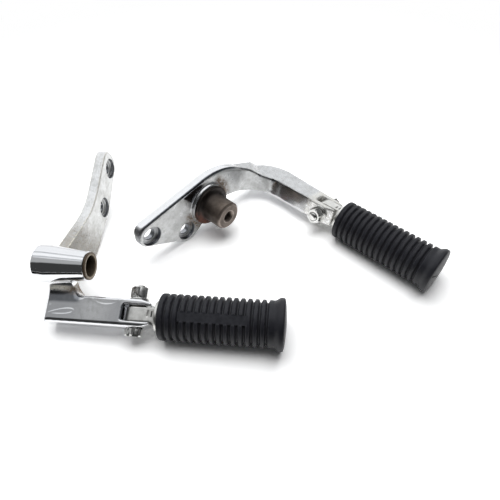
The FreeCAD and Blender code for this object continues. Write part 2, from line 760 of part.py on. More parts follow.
left_bracket()
right_bracket()
bushing("outer_bushing", "tube_outboard_end", 1)
bushing("inner_bushing", tube_inboard_end, -1)
pivot_post()
for hand in hands:
    peg_core(hand)
    peg_rubber(hand)
    hinge_bolt(hand)
    hinge_nut(hand)
    hinge_washer(hand)
    spring_washer(hand)

# Before anything is written, every object has to be sound
for thing in doc.Objects:
    if "Invalid" in thing.State or "Error" in thing.State:
        raise RuntimeError(f"{thing.Name} failed: {thing.State}")

os.makedirs("parts", exist_ok=True)
for body in [thing for thing in doc.Objects if thing.TypeId == "PartDesign::Body"]:
    shape = body.Shape
    if shape.isNull() or not shape.isValid():
        raise RuntimeError(f"{body.Label} has no valid shape")
    shape.exportStep(f"parts/{body.Label}.step")
    print(body.Label, len(shape.Solids), round(shape.Volume), shape.BoundBox)
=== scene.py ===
import json
import math

import bmesh
import bpy
import numpy as np
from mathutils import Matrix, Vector


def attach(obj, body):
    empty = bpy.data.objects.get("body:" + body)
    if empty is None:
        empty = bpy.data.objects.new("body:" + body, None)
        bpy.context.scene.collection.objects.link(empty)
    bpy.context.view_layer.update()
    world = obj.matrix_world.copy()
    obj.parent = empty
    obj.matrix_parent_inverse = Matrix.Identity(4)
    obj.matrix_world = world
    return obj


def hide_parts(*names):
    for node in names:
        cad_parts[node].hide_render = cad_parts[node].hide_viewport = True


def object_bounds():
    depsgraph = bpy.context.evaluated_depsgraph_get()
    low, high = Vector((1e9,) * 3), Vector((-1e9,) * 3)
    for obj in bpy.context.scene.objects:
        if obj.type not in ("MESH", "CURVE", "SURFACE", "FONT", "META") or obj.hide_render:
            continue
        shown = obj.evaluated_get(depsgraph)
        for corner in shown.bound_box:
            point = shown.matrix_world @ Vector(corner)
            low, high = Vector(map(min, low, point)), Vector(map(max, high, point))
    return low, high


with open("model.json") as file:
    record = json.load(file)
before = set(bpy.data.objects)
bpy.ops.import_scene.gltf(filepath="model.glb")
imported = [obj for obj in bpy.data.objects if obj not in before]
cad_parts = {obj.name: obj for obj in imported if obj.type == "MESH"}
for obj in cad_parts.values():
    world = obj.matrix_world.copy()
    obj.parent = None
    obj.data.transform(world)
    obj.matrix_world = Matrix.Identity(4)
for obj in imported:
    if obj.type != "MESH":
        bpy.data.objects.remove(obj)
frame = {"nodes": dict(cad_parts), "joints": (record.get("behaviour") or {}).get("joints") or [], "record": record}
cadBox = [[float(v) for v in corner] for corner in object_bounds()]
record = frame["record"]
mounts = {mount["name"]: mount for mount in record["mounts"]}
hinges = {joint["name"]: joint for joint in frame["joints"]}
mm = 0.001
hands = {"left": 1, "right": -1}  # side of the hinge axis that the mounting strap lies on


def unitFrame(hand):
    # hinge centre and axes of one unit: x outboard along the peg, y along the hinge, z the way it folds
    hinge = hinges[hand + "_peg_fold"]
    along = {"left": "left_shaft_bore", "right": "right_pivot_post"}[hand]
    outboard = np.array(mounts[along]["axis"], float)
    across = -np.array(hinge["axis"], float)
    axes = np.stack([outboard, across, np.cross(outboard, across)], axis=1)
    return axes, np.array(hinge["pos_m"], float)


units = {hand: unitFrame(hand) for hand in hands}
print("frame loaded,", len(frame["nodes"]), "nodes")


# placing and meshing

def toWorld(points, hand):
    # a unit's own millimetres to the shared frame's metres
    axes, origin = units[hand]
    return (np.asarray(points, float) * mm) @ axes.T + origin


def toUnit(points, hand):
    axes, origin = units[hand]
    return ((np.asarray(points, float) - origin) @ axes) / mm


def gridFaces(rows, columns, closedRows, closedColumns, first=0):
    # corner numbers of the quads of a grid, wrapping round where it is closed
    r = np.arange(rows if closedRows else rows - 1)
    c = np.arange(columns if closedColumns else columns - 1)
    r, c = np.meshgrid(r, c, indexing="ij")
    r2, c2 = (r + 1) % rows, (c + 1) % columns
    quads = np.stack([r * columns + c, r * columns + c2, r2 * columns + c2, r2 * columns + c], axis=-1)
    return quads.reshape(-1, 4) + first


def meshFrom(name, points, quads):
    mesh = bpy.data.meshes.new(name)
    mesh.vertices.add(len(points))
    mesh.vertices.foreach_set("co", np.ascontiguousarray(points, np.float32).ravel())
    mesh.loops.add(quads.size)
    mesh.loops.foreach_set("vertex_index", np.ascontiguousarray(quads, np.int32).ravel())
    mesh.polygons.add(len(quads))
    mesh.polygons.foreach_set("loop_start", np.arange(0, quads.size, 4, dtype=np.int32))
    mesh.update(calc_edges=True)
    return mesh


def closeUp(mesh, gap=1e-6):
    # welds seams and poles and turns every face outwards
    work = bmesh.new()
    work.from_mesh(mesh)
    bmesh.ops.remove_doubles(work, verts=work.verts, dist=gap)
    bmesh.ops.dissolve_degenerate(work, edges=work.edges, dist=gap)
    bmesh.ops.recalc_face_normals(work, faces=work.faces)
    work.to_mesh(mesh)
    work.free()


def putIn(thing):
    bpy.context.scene.collection.objects.link(thing)


def addPiece(name, mesh, finish, body, stands, sharpAngle=None):
    mesh.shade_smooth()
    if sharpAngle is not None:
        mesh.set_sharp_from_angle(angle=math.radians(sharpAngle))
    mesh.materials.clear()
    mesh.materials.append(finish)
    piece = bpy.data.objects.new(name, mesh)
    putIn(piece)
    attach(piece, body)
    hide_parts(stands)
    return piece


def setAttribute(mesh, name, values):
    layer = mesh.attributes.get(name) or mesh.attributes.new(name, "FLOAT", "POINT")
    layer.data.foreach_set("value", np.ascontiguousarray(values, np.float32))


def readPoints(mesh, field="co"):
    out = np.zeros(len(mesh.vertices) * 3, np.float32)
    mesh.vertices.foreach_get(field, out)
    return out.reshape(-1, 3).astype(float)


def ease(value, low, high):
    # 0 below low, 1 above high, a smooth step between
    t = np.clip((value - low) / (high - low), 0, 1)
    return t * t * (3 - 2 * t)


def between(value, low, high, soft):
    return ease(value, low - soft, low + soft) * (1 - ease(value, high - soft, high + soft))


def fullTurn(count):
    # even angles once round
    return np.linspace(0, 2 * math.pi, count, endpoint=False)


def roundProfile(corners, steps):
    # a run through the corners (x, r, rounding): each rounded corner becomes an arc tangent to both sides
    points = np.array([corner[:2] for corner in corners], float)
    radii = [corner[2] if len(corner) > 2 else 0 for corner in corners]
    run = []
    for k, (point, radius) in enumerate(zip(points, radii)):
        if radius <= 0 or k in (0, len(points) - 1):
            run.append(point[None])
            continue
        back = points[k - 1] - point
        ahead = points[k + 1] - point
        back, ahead = back / np.linalg.norm(back), ahead / np.linalg.norm(ahead)
        half = math.acos(np.clip(back @ ahead, -1, 1)) / 2
        reach = radius / math.tan(half)
        middle = back + ahead
        centre = point + middle / np.linalg.norm(middle) * radius / math.sin(half)
        start, end = point + back * reach - centre, point + ahead * reach - centre
        turn = np.linspace(0, 1, steps + 1)[:, None]
        sweep = math.pi - 2 * half
        run.append(centre + (np.sin((1 - turn) * sweep) * start + np.sin(turn * sweep) * end) / math.sin(sweep))
    return np.concatenate(run)


def turnedPoints(profile, segments, centre=(0, 0), axis="x"):
    # a profile (station, radius) turned round a line parallel to the unit's x or y axis
    angle = fullTurn(segments)
    station = np.repeat(profile[:, :1], segments, axis=1)
    p = profile[:, 1:] * np.cos(angle) + centre[0]
    q = profile[:, 1:] * np.sin(angle) + centre[1]
    order = {"x": (station, p, q), "y": (p, station, q)}[axis]
    return np.stack(order, axis=-1)


# sockets and sums

class Wire:
    # one socket of a material; sums written on it become Math nodes in the same tree
    def __init__(self, tree, socket=None):
        self.tree = tree
        self.socket = socket

    def node(self, kind, settings=None, sockets=None, out=0):
        made = self.tree.nodes.new(kind)
        for key, value in (settings or {}).items():
            if key == "stops":
                ramp = made.color_ramp
                while len(ramp.elements) < len(value):
                    ramp.elements.new(1)
                for element, (place, colour) in zip(ramp.elements, value):
                    element.position = place
                    element.color = colour
            else:
                setattr(made, key, value)
        for key, value in (sockets or {}).items():
            if isinstance(value, Wire):
                self.tree.links.new(value.socket, made.inputs[key])
            else:
                made.inputs[key].default_value = value
        return Wire(self.tree, made.outputs[out] if len(made.outputs) else None)

    def sum(self, operation, first, second=0.0):
        return self.node("ShaderNodeMath", {"operation": operation}, {0: first, 1: second})

    def __add__(self, other):
        return self.sum("ADD", self, other)

    def __radd__(self, other):
        return self.sum("ADD", other, self)

    def __sub__(self, other):
        return self.sum("SUBTRACT", self, other)

    def __rsub__(self, other):
        return self.sum("SUBTRACT", other, self)

    def __mul__(self, other):
        return self.sum("MULTIPLY", self, other)

    def atLeast(self, other):
        return self.sum("MAXIMUM", self, other)

    def atMost(self, other):
        return self.sum("MINIMUM", self, other)

    def step(self, low, high):
        # 0 below low, 1 above high, smooth between
        return self.node("ShaderNodeMapRange", {"interpolation_type": "SMOOTHSTEP"},
                         {"Value": self, "From Min": low, "From Max": high})

    def tint(self, first, second):
        # first colour where this is 0, second where it is 1
        return self.node("ShaderNodeMix", {"data_type": "RGBA"}, {0: self, 6: first, 7: second}, out=2)


class Finish(Wire):
    # a material with one shader; patterns are read from Object coordinates in metres
    def __init__(self, name):
        self.material = bpy.data.materials.new(name)
        self.material.use_nodes = True
        super().__init__(self.material.node_tree)
        self.tree.nodes.clear()
        self.coords = self.node("ShaderNodeTexCoord", out="Object")

    def spread(self, scale):
        return self.node("ShaderNodeVectorMath", {"operation": "MULTIPLY"}, {0: self.coords, 1: scale})

    def noise(self, size, detail, roughness, stretch=None):
        # cloudy pattern whose lumps are about size millimetres across
        place = self.spread(stretch) if stretch else self.coords
        return self.node("ShaderNodeTexNoise", None, {"Vector": place, "Scale": 1 / (size * mm),
                                                      "Detail": detail, "Roughness": roughness})

    def cells(self, size):
        # distance from the middle of the nearest of many cells, each about size millimetres across
        return self.node("ShaderNodeTexVoronoi", None, {"Vector": self.coords, "Scale": 1 / (size * mm)},
                         out="Distance")

    def attribute(self, name):
        return self.node("ShaderNodeAttribute", {"attribute_name": name}, out="Fac")

    def bump(self, height, depth, strength=1.0, under=None):
        sockets = {"Height": height, "Distance": depth * mm, "Strength": strength}
        if under is not None:
            sockets["Normal"] = under
        return self.node("ShaderNodeBump", None, sockets)

    def surface(self, **sockets):
        shader = self.node("ShaderNodeBsdfPrincipled", None, sockets)
        self.node("ShaderNodeOutputMaterial", None, {"Surface": shader})
        return self.material


def colour(red, green, blue):
    return (red, green, blue, 1.0)


# finishes: the attributes painted on the meshes say where each tone goes

chromeTones = {
    "bright": colour(0.80, 0.805, 0.82), "satin": colour(0.60, 0.605, 0.595), "blotch": colour(0.36, 0.36, 0.345),
    "tarnish": colour(0.195, 0.205, 0.225), "halo": colour(0.36, 0.34, 0.30), "stain": colour(0.20, 0.125, 0.07),
    "chalk": colour(0.84, 0.81, 0.72), "pit": colour(0.07, 0.055, 0.045),
}
rubberTones = {
    "deep": colour(0.0085, 0.0088, 0.0120), "plain": colour(0.014, 0.0145, 0.0185),
    "scuff": colour(0.050, 0.051, 0.058), "dust": colour(0.060, 0.060, 0.062),
}
zincTones = {"spot": colour(0.16, 0.14, 0.115), "mark": colour(0.03, 0.027, 0.024)}
postTones = {
    "dark": colour(0.088, 0.070, 0.057), "pale": colour(0.172, 0.140, 0.116), "spot": colour(0.045, 0.036, 0.03),
    "soot": colour(0.022, 0.018, 0.017), "worn": colour(0.40, 0.335, 0.295), "rust": colour(0.16, 0.055, 0.032),
}
bronzeTones = {
    "dark": colour(0.062, 0.042, 0.028), "pale": colour(0.125, 0.092, 0.062), "worn": colour(0.40, 0.34, 0.26),
    "bore": colour(0.030, 0.017, 0.012), "spot": colour(0.05, 0.035, 0.028),
}


def chromeFinish():
    # worn chrome: bright skin, satin haze, blue-grey tarnish that is also painted dark reflection and shade, dark pits
    # with brown rims where "pits" is painted
    look, tones = Finish("wornChrome"), chromeTones
    haze, tarnish, pitted, stain, chalk = map(look.attribute, ("haze", "tarnish", "pits", "stain", "chalk"))
    streak = look.noise(3.2, 5, 0.65, stretch=(1.0, 0.4, 1.0))
    cloud = look.noise(9, 4, 0.6)
    mottle = look.noise(2.2, 5, 0.65)
    fine = look.noise(0.5, 3, 0.6)
    specks = look.cells(1.5)
    tiny = look.cells(0.7)
    # a pit is the middle of a cell, and there are more of them where more is painted
    where = (pitted + (cloud - 0.5) * 0.5 * pitted.step(0.02, 0.2)).atLeast(0.0).atMost(1.0)
    pit = (1 - specks.step(0.10, 0.34)) * (mottle + where * 0.55).step(0.72, 0.86)
    pin = (1 - tiny.step(0.08, 0.26)) * (fine + where * 0.5 + haze * 0.05).step(0.66, 0.80)
    spot = pit.atLeast(pin).atMost(1.0)
    halo = where * (mottle + 0.1).step(0.42, 0.72)
    hazy = (haze * (0.55 + (mottle * 0.4 + cloud * 0.6).step(0.25, 0.60) * 0.45)).atMost(1.0)
    blotch = hazy * (streak * 0.6 + cloud * 0.4).step(0.46, 0.62)
    flakes = chalk * (mottle * 0.5 + fine * 0.5).step(0.40, 0.52)
    skin = hazy.tint(tones["bright"], tones["satin"])
    skin = (blotch * 0.5).tint(skin, tones["blotch"])
    # the blue-grey tone is tarnish and also painted dark reflection and shade, laid wherever the coats put it
    skin = (tarnish * (0.8 + cloud * 0.4)).atMost(1.0).tint(skin, tones["tarnish"])
    skin = (halo * 0.55).tint(skin, tones["halo"])
    skin = (stain * mottle.step(0.30, 0.62)).tint(skin, tones["stain"])
    skin = flakes.tint(skin, tones["chalk"])
    skin = (spot * 0.9).tint(skin, tones["pit"])
    scratch = look.noise(0.6, 2, 0.5, stretch=(1.0, 0.08, 1.0))
    shine = 0.055 + hazy * 0.30 + halo * 0.22 + stain * 0.2 + (scratch - 0.4) * 0.05 + spot * 0.4 + flakes * 0.4
    waves = look.noise(14, 2, 0.4)
    swell = look.bump(waves, 0.10)
    dents = look.bump(spot * -1.0 + mottle * (hazy * 0.12 + halo * 0.35), 0.08, 1.0, swell)
    metal = (1 - spot * 0.6 - stain * 0.4 - flakes).atLeast(0.0)
    return look.surface(**{"Base Color": skin, "Metallic": metal,
                           "Roughness": shine.atLeast(0.04).atMost(0.9), "Normal": dents})


def rubberFinish():
    # black moulded rubber: paler rib edges that are partly wear and partly painted highlight, dust in the grooves, a
    # fine pebble
    look, tones = Finish("mouldedRubber"), rubberTones
    edge, dust = map(look.attribute, ("edge", "dust"))
    cloud = look.noise(12, 3, 0.6)
    grain = look.noise(0.35, 3, 0.6)
    patch = look.noise(3, 4, 0.6)
    base = cloud.step(0.3, 0.7).tint(tones["deep"], tones["plain"])
    # the rib edges are paled: part wear, part painted highlight
    base = (edge * patch.step(0.30, 0.62) * 0.7).tint(base, tones["scuff"])
    base = (dust * (0.4 + patch * 0.5)).tint(base, tones["dust"])
    shine = 0.50 + (grain - 0.5) * 0.25 + (cloud - 0.5) * 0.2 + edge * 0.08
    pebble = look.bump(grain + patch * 0.6, 0.05, 0.7)
    return look.surface(**{"Base Color": base, "Roughness": shine, "Metallic": 0.0,
                           "Specular IOR Level": 0.36, "Normal": pebble})


def zincFinish(name, pale, dark, gloss, rough=1.0):
    # plated steel: grey clouds, darker spots, and a near-black tone where "mark" is painted
    look, tones = Finish(name), zincTones
    mark = look.attribute("mark")
    cloud = look.noise(5, 4, 0.65)
    spot = look.noise(1.1, 4, 0.7)
    grain = look.noise(0.3, 2, 0.5)
    skin = cloud.step(0.32, 0.70).tint(dark, pale)
    skin = (spot.step(0.62, 0.78) * 0.65).tint(skin, tones["spot"])
    skin = mark.tint(skin, tones["mark"])
    shine = gloss + (cloud - 0.5) * 0.25 * rough + spot.step(0.6, 0.8) * 0.2 + mark * 0.3
    grit = look.bump(grain * 0.5 + spot, 0.04 * rough, 0.8)
    return look.surface(**{"Base Color": skin, "Metallic": 1 - spot.step(0.62, 0.78) * 0.5,
                           "Roughness": shine.atLeast(0.06), "Normal": grit})


def postFinish():
    # turned steel gone brown: a red-brown patch, soot by the flange and rubbed rings, each where it is painted
    look, tones = Finish("stainedTurnedSteel"), postTones
    rust, worn, soot = map(look.attribute, ("rust", "worn", "soot"))
    cloud = look.noise(7, 4, 0.6)
    spot = look.noise(1.0, 5, 0.7)
    skin = cloud.step(0.3, 0.7).tint(tones["dark"], tones["pale"])
    skin = (spot.step(0.55, 0.75) * 0.6).tint(skin, tones["spot"])
    skin = (soot * (0.7 + cloud * 0.4)).atMost(1.0).tint(skin, tones["soot"])
    skin = (worn * spot.step(0.20, 0.55)).tint(skin, tones["worn"])
    skin = (rust * cloud.step(0.2, 0.6)).tint(skin, tones["rust"])
    shine = 0.42 + (spot - 0.5) * 0.3 + rust * 0.2 - worn * 0.1
    pits = look.bump(spot + cloud * 0.4, 0.06, 0.9)
    return look.surface(**{"Base Color": skin, "Metallic": 0.75 - rust * 0.5, "Roughness": shine,
                           "Normal": pits})


def bronzeFinish():
    # oil-dark bushing bronze with a rubbed rim and a darker bore
    look, tones = Finish("oiledBronze"), bronzeTones
    worn, bore = map(look.attribute, ("worn", "bore"))
    cloud = look.noise(4, 4, 0.6)
    spot = look.noise(0.7, 4, 0.7)
    skin = cloud.step(0.3, 0.7).tint(tones["dark"], tones["pale"])
    skin = (worn * spot.step(0.3, 0.6)).tint(skin, tones["worn"])
    skin = bore.tint(skin, tones["bore"])
    skin = (spot.step(0.62, 0.8) * 0.7).tint(skin, tones["spot"])
    shine = 0.45 + (spot - 0.5) * 0.35
    pores = look.bump(spot, 0.05, 0.8)
    return look.surface(**{"Base Color": skin, "Metallic": 0.7, "Roughness": shine, "Normal": pores})


chrome = chromeFinish()
rubber = rubberFinish()
zinc = zincFinish("dullZinc", colour(0.78, 0.78, 0.77), colour(0.60, 0.60, 0.58), 0.15, 0.35)
coreSteel = zincFinish("platedCore", colour(0.78, 0.775, 0.75), colour(0.58, 0.575, 0.55), 0.34)
springSteel = zincFinish("darkSpring", colour(0.34, 0.33, 0.31), colour(0.20, 0.19, 0.18), 0.42)
postSteel = postFinish()
bronze = bronzeFinish()
print("finishes made")


# brackets: the castings, with their edges worn round by polishing, and their wear and painted dark reflections and
# shade laid on zone by zone

casting = {"voxel": 0.635, "passes": 10, "freedom": 0.5, "holeFreedom": 0.25, "holeRing": (11.0, 14.0),
           "seatEdge": (10.3, 11.1), "wallTurn": (0.6, 0.85)}


def evenCopy(node, voxel):
    # the node's solid cut into even small squares, with the pairs of points that share an edge
    source = frame["nodes"][node].data.copy()
    closeUp(source)
    holder = bpy.data.objects.new(node + "Raw", source)
    putIn(holder)
    remesh = holder.modifiers.new("even", "REMESH")
    remesh.mode = "VOXEL"
    remesh.voxel_size = voxel * mm
    graph = bpy.context.evaluated_depsgraph_get()
    mesh = bpy.data.meshes.new_from_object(holder.evaluated_get(graph))
    bpy.data.objects.remove(holder)
    bpy.data.meshes.remove(source)
    edges = np.zeros(len(mesh.edges) * 2, np.int32)
    mesh.edges.foreach_get("vertices", edges)
    return mesh, edges.reshape(-1, 2).T


def neighbourMean(values, pairs):
    # each point's mean over the points it shares an edge with
    a, b = pairs
    size = len(values)
    count = np.maximum(np.bincount(np.concatenate([a, b]), minlength=size), 1)
    total = [np.bincount(a, column[b], size) + np.bincount(b, column[a], size) for column in values.T]
    return np.stack(total, axis=1) / count[:, None]


def polish(mesh, pairs, passes, free):
    # every pass draws each point towards its neighbours' mean by its own share of freedom
    points = readPoints(mesh)
    for _ in range(passes):
        points = points + (neighbourMean(points, pairs) - points) * free[:, None]
    mesh.vertices.foreach_set("co", points.astype(np.float32).ravel())
    mesh.update()


def placePoints(mesh, x, y, z, hand):
    mesh.vertices.foreach_set("co", toWorld(np.stack([x, y, z], axis=1), hand).astype(np.float32).ravel())
    mesh.update()


def unitState(mesh, hand):
    # the points in the unit's own millimetres, and the way each one faces
    x, y, z = toUnit(readPoints(mesh), hand).T
    return x, y, z, readPoints(mesh, "normal") @ units[hand][0]


def holeDistance(y, z, holes):
    return np.min([np.hypot(y - holeY, z - holeZ) for holeY, holeZ in holes], axis=0)


def wornCopy(hand, holes):
    # every edge a little rounded; a point's freedom grows from holeFreedom at a bolt hole to 1 outside holeRing
    mesh, pairs = evenCopy(hand + "_bracket", casting["voxel"])
    x, y, z = toUnit(readPoints(mesh), hand).T
    held = casting["holeFreedom"]
    clear = ease(holeDistance(y, z, holes), *casting["holeRing"])
    polish(mesh, pairs, casting["passes"], casting["freedom"] * (held + (1 - held) * clear))
    return mesh, pairs, x, y, z


def seatWallZone(hole, outward):
    # the round walls of the spot-faced seats and of the bolt holes in them, which the tarnish coat darkens as painted
    # shade
    return (1 - ease(hole, *casting["seatEdge"])) * (1 - ease(np.abs(outward), *casting["wallTurn"]))


def paint(mesh, zones, coats):
    # each attribute is the sum of its zones, every one times its own amount
    for name, amounts in coats.items():
        coat = sum(amount * zones[zone] for zone, amount in amounts.items())
        setAttribute(mesh, name, np.clip(coat, 0, 1))


# places in the unit's millimetres; turns are parts of a facing, 1 being straight that way
leftWear = {
    "holes": ((153.5, -31.4), (112.36, -37.55)), "tube": (34.6, 16.3), "tubeSkin": (16.6, 17.6),
    "tubeBack": (47.0, 50.0), "tubeLines": ((72.0, 1.8), (86.0, 2.2)), "tubeTop": (0.0, 0.6),
    "strapFrom": (46.0, 52.0), "strapFace": (0.75, 0.92), "strapBase": (56.0, 92.0), "strapEdge": (0.3, 0.92, 0.1),
    "edgeClear": (10.7, 11.7), "neck": (14.5, 27.0, 2.0), "chalkTo": (-62.0, -52.0),
    "rim": {"x": (-62.0, -46.0, 5.0), "y": (13.0, 24.0, 3.0)},
    "foot": {"x": (-69.5, -47.0, 5.0), "y": (4.0, 15.0, 3.0), "from": (4.0, 8.0), "to": (20.0, 26.0),
             "passes": 420, "freedom": 0.6},
    "hollow": {"x": (-80.0, -47.0, 3.0), "from": (3.5, 8.0), "to": (13.0, 16.0), "turn": (0.4, 0.7)},
    "block": {"back": (9.0, 12.0), "slot": (-13.0, -10.0), "above": (4.0, 7.0), "turn": (0.75, 0.95)},
    "cloudy": {"x": (-46.0, -20.0, 12.0), "turn": (0.9, 0.97)},
    "slotEnd": {"x": (-12.0, -8.6, 0.8), "half": (6.0, 7.4), "turn": (0.05, 0.25)},
    "endEdge": {"x": (71.8, 73.6), "back": (12.0, 16.0), "above": (2.0, 5.0)},
    "ridge": {"high": 0.13, "wide": 0.8, "turn": (0.9, 0.97), "back": (10.5, 11.5), "above": (7.0, 8.0)},
    "loop": {"x": -60.35, "y": -3.35, "slope": 0.137, "long": 10.55, "wide": 2.76, "tail": -1.45},
    "crescent": {"x": -24.5, "y": 9.6, "half": 13.0, "sag": 4.6, "fade": 4.0},
}
leftCoats = {
    "haze": {"everywhere": 0.04, "strap": 0.5, "strapFace": 0.5, "neck": 0.9, "cloudy": 0.45},
    "pits": {"neck": 0.7, "base": 0.85, "strap": 0.14, "tube": 0.03, "hollow": 0.25},
    "stain": {"rim": 0.9, "base": 0.3},
    "chalk": {"neckInboard": 0.9, "base": 0.25, "strapEdge": 0.7},
    # on the block top, the hollow, the seat walls, the slot's end, the block's end edge and the tube, tarnish is
    # painted reflection and shade; on the strap's base it is tarnish
    "tarnish": {"block": 0.32, "hollow": 1.0, "seatWall": 0.7, "slotEnd": 1.0, "tubeTop": 0.12, "tubeLines": 0.8,
                "endEdge": 0.85, "strapFace": 0.08, "base": 0.5},
}
rightWear = {
    "holes": ((-149.9, -22.1), (-107.07, -33.02)), "post": (-82.2, -9.3), "strapFrom": (-54.0, -32.0),
    "strapFace": (0.55, 0.85), "seatFloor": (8.9, 9.7), "topTurn": (0.35, 0.7), "crown": (-66.0, -44.0),
    "clevis": (-20.0, -14.0), "tip": {"turn": (0.75, 0.95), "y": (-163.0, -158.0)},
    "bend": {"x": (-67.0, -60.0), "turn": (0.4, 0.8), "top": (0.5, 0.8)},
    "edge": {"passes": 28, "freedom": 0.5, "spread": 6, "turn": (0.08, 0.25), "boss": (22.3, 24.8),
             "to": (-40.0, -25.0)},
    "front": {"lean": 8.0, "turn": (0.45, 0.85), "x": (-62.0, -15.0, 4.0)},
    "darkEdge": {"turn": (0.26, 0.40), "to": (-56.0, -44.0), "hole": (10.5, 12.0), "boss": (21.5, 23.0)},
    "shade": {"slope": 0.713, "y": -117.0, "z": 7.3, "soft": 0.6, "to": (-96.0, -90.0)},
    "rust": {"reach": (23.0, 32.0), "armSide": (4.0, 12.0), "armUp": (-12.0, 2.0), "farSide": (2.0, 10.0),
             "farDown": (2.0, 8.0)},
}
rightCoats = {
    "haze": {"everywhere": 0.05, "faceUnshaded": 0.95, "top": 0.1, "crown": 0.5, "front": 0.3},
    "pits": {"everywhere": 0.02, "face": 0.10, "rust": 0.8, "crown": 0.12, "tip": 0.3},
    "stain": {"rust": 0.85},
    "chalk": {"clevis": 0.45},
    # the tarnish coat paints dark reflection below the strap's shade line, along its top edge and on the seat walls
    "tarnish": {"seatWall": 0.75, "seatFloor": 0.3, "shade": 0.62, "tip": 0.8, "top": 0.04, "crown": 0.25,
                "darkEdge": 1.0, "bend": 0.22, "face": 0.06},
}


def raiseLines(mesh):
    # faint lines on the left block's top, raised by high * exp(-(off / wide)^2): off is the distance from a loop
    # that crosses itself, y = spine +- wide * (t + 1) * sqrt((1 - t) / 2), or from a crescent at the back edge
    ridge, loop, crescent = (leftWear[name] for name in ("ridge", "loop", "crescent"))
    x, y, z, facing = unitState(mesh, "left")
    t = np.clip((x - loop["x"]) / loop["long"], loop["tail"], 1.0)
    bow = loop["wide"] * (t + 1) * np.sqrt((1 - t) / 2)
    fromSpine = y - loop["y"] - loop["slope"] * (x - loop["x"])
    offLoop = np.minimum(np.abs(fromSpine - bow), np.abs(fromSpine + bow))
    offLoop = offLoop + np.abs(x - loop["x"] - t * loop["long"])
    s = (x - crescent["x"]) / crescent["half"]
    offCrescent = np.abs(y - crescent["y"] + crescent["sag"] * (1 - s * s))
    offCrescent = offCrescent + crescent["fade"] * np.maximum(np.abs(s) - 1, 0)
    line = np.exp(-(offLoop / ridge["wide"]) ** 2) + np.exp(-(offCrescent / ridge["wide"]) ** 2)
    onTop = ease(facing[:, 2], *ridge["turn"]) * (1 - ease(y, *ridge["back"])) * ease(z, *ridge["above"])
    placePoints(mesh, x, y, z + ridge["high"] * line * onTop, "left")


def leftZones(mesh):
    wear = leftWear
    x, y, z, facing = unitState(mesh, "left")
    outward, across, upward = facing.T
    hole = holeDistance(y, z, wear["holes"])
    tubeY, tubeZ = y - wear["tube"][0], z - wear["tube"][1]
    tube = (1 - ease(np.hypot(tubeY, tubeZ), *wear["tubeSkin"])) * (1 - ease(y, *wear["tubeBack"]))
    lean = np.degrees(np.arctan2(tubeZ, tubeY))
    lines = sum(np.exp(-((lean - middle) / wide) ** 2) for middle, wide in wear["tubeLines"])
    strap = ease(y, *wear["strapFrom"])
    neck = between(y, *wear["neck"]) * (1 - tube)
    hollow, block, slot, end = (wear[name] for name in ("hollow", "block", "slotEnd", "endEdge"))
    front = 1 - ease(y, *block["back"])
    cloudy = between(x, *wear["cloudy"]["x"]) * front * ease(upward, *wear["cloudy"]["turn"])
    above = ease(z, *block["above"])
    return {
        "everywhere": np.ones(len(x)), "tube": tube, "strap": strap, "neck": neck, "cloudy": cloudy,
        # painted reflection: faint grey on the tube's top and dark lines along it at two lean angles
        "tubeTop": tube * ease(across, *wear["tubeTop"]),
        "tubeLines": tube * lines,
        "strapFace": strap * ease(np.abs(outward), *wear["strapFace"]),
        "strapEdge": strap * between(np.abs(outward), *wear["strapEdge"]) * ease(hole, *wear["edgeClear"]),
        "base": strap * (1 - ease(y, *wear["strapBase"])),
        "neckInboard": neck * (1 - ease(x, *wear["chalkTo"])),
        "rim": (1 - tube) * between(y, *wear["rim"]["y"]) * between(x, *wear["rim"]["x"]),
        # painted shade: the hollow under the neck is darkened fully through the tarnish coat, standing in for its dark
        # reflection
        "hollow": (ease(y, *hollow["from"]) * (1 - ease(y, *hollow["to"])) * between(x, *hollow["x"])
                   * ease(upward, *hollow["turn"]) * above),
        # painted reflection: the block's top is tinted grey-blue through the tarnish coat
        "block": ease(upward, *block["turn"]) * front * (1 - ease(x, *block["slot"])) * above * (1 - cloudy),
        # painted shade: the slot's end wall and its rounding are darkened as a dark reflection
        "slotEnd": between(x, *slot["x"]) * (1 - ease(np.abs(y), *slot["half"])) * ease(outward, *slot["turn"]),
        # painted dark reflection along the block's end edge
        "endEdge": ease(-x, *end["x"]) * (1 - ease(y, *end["back"])) * ease(z, *end["above"]),
        "seatWall": seatWallZone(hole, outward),
    }


def leftBracket():
    foot = leftWear["foot"]
    mesh, pairs, x, y, z = wornCopy("left", leftWear["holes"])
    # the neck's foot runs into the block in a wide hollow
    melting = between(x, *foot["x"]) * between(y, *foot["y"]) * ease(z, *foot["from"]) * (1 - ease(z, *foot["to"]))
    polish(mesh, pairs, foot["passes"], foot["freedom"] * melting)
    raiseLines(mesh)
    paint(mesh, leftZones(mesh), leftCoats)
    return addPiece("leftBracket", mesh, chrome, "brackets", "left_bracket")


def roundTopEdge(mesh, pairs, hole, fromPost):
    # the edge between the right strap's face and its top is worn rounder than the rest
    edge = rightWear["edge"]
    _, y, _, facing = unitState(mesh, "right")
    zone = ease(facing[:, 0] * facing[:, 2], *edge["turn"]) * ease(hole, *casting["holeRing"])
    zone = zone * ease(fromPost, *edge["boss"]) * (1 - ease(y, *edge["to"]))
    for _ in range(edge["spread"]):
        zone = np.maximum(zone, neighbourMean(zone[:, None], pairs)[:, 0])
    polish(mesh, pairs, edge["passes"], edge["freedom"] * zone)


def leanFront(mesh):
    # the right arm's front leans back towards its top: y grows by tan(lean) * z
    front = rightWear["front"]
    x, y, z, facing = unitState(mesh, "right")
    zone = ease(-facing[:, 1], *front["turn"]) * between(x, *front["x"])
    placePoints(mesh, x, y + math.tan(math.radians(front["lean"])) * z * zone, z, "right")
    return zone


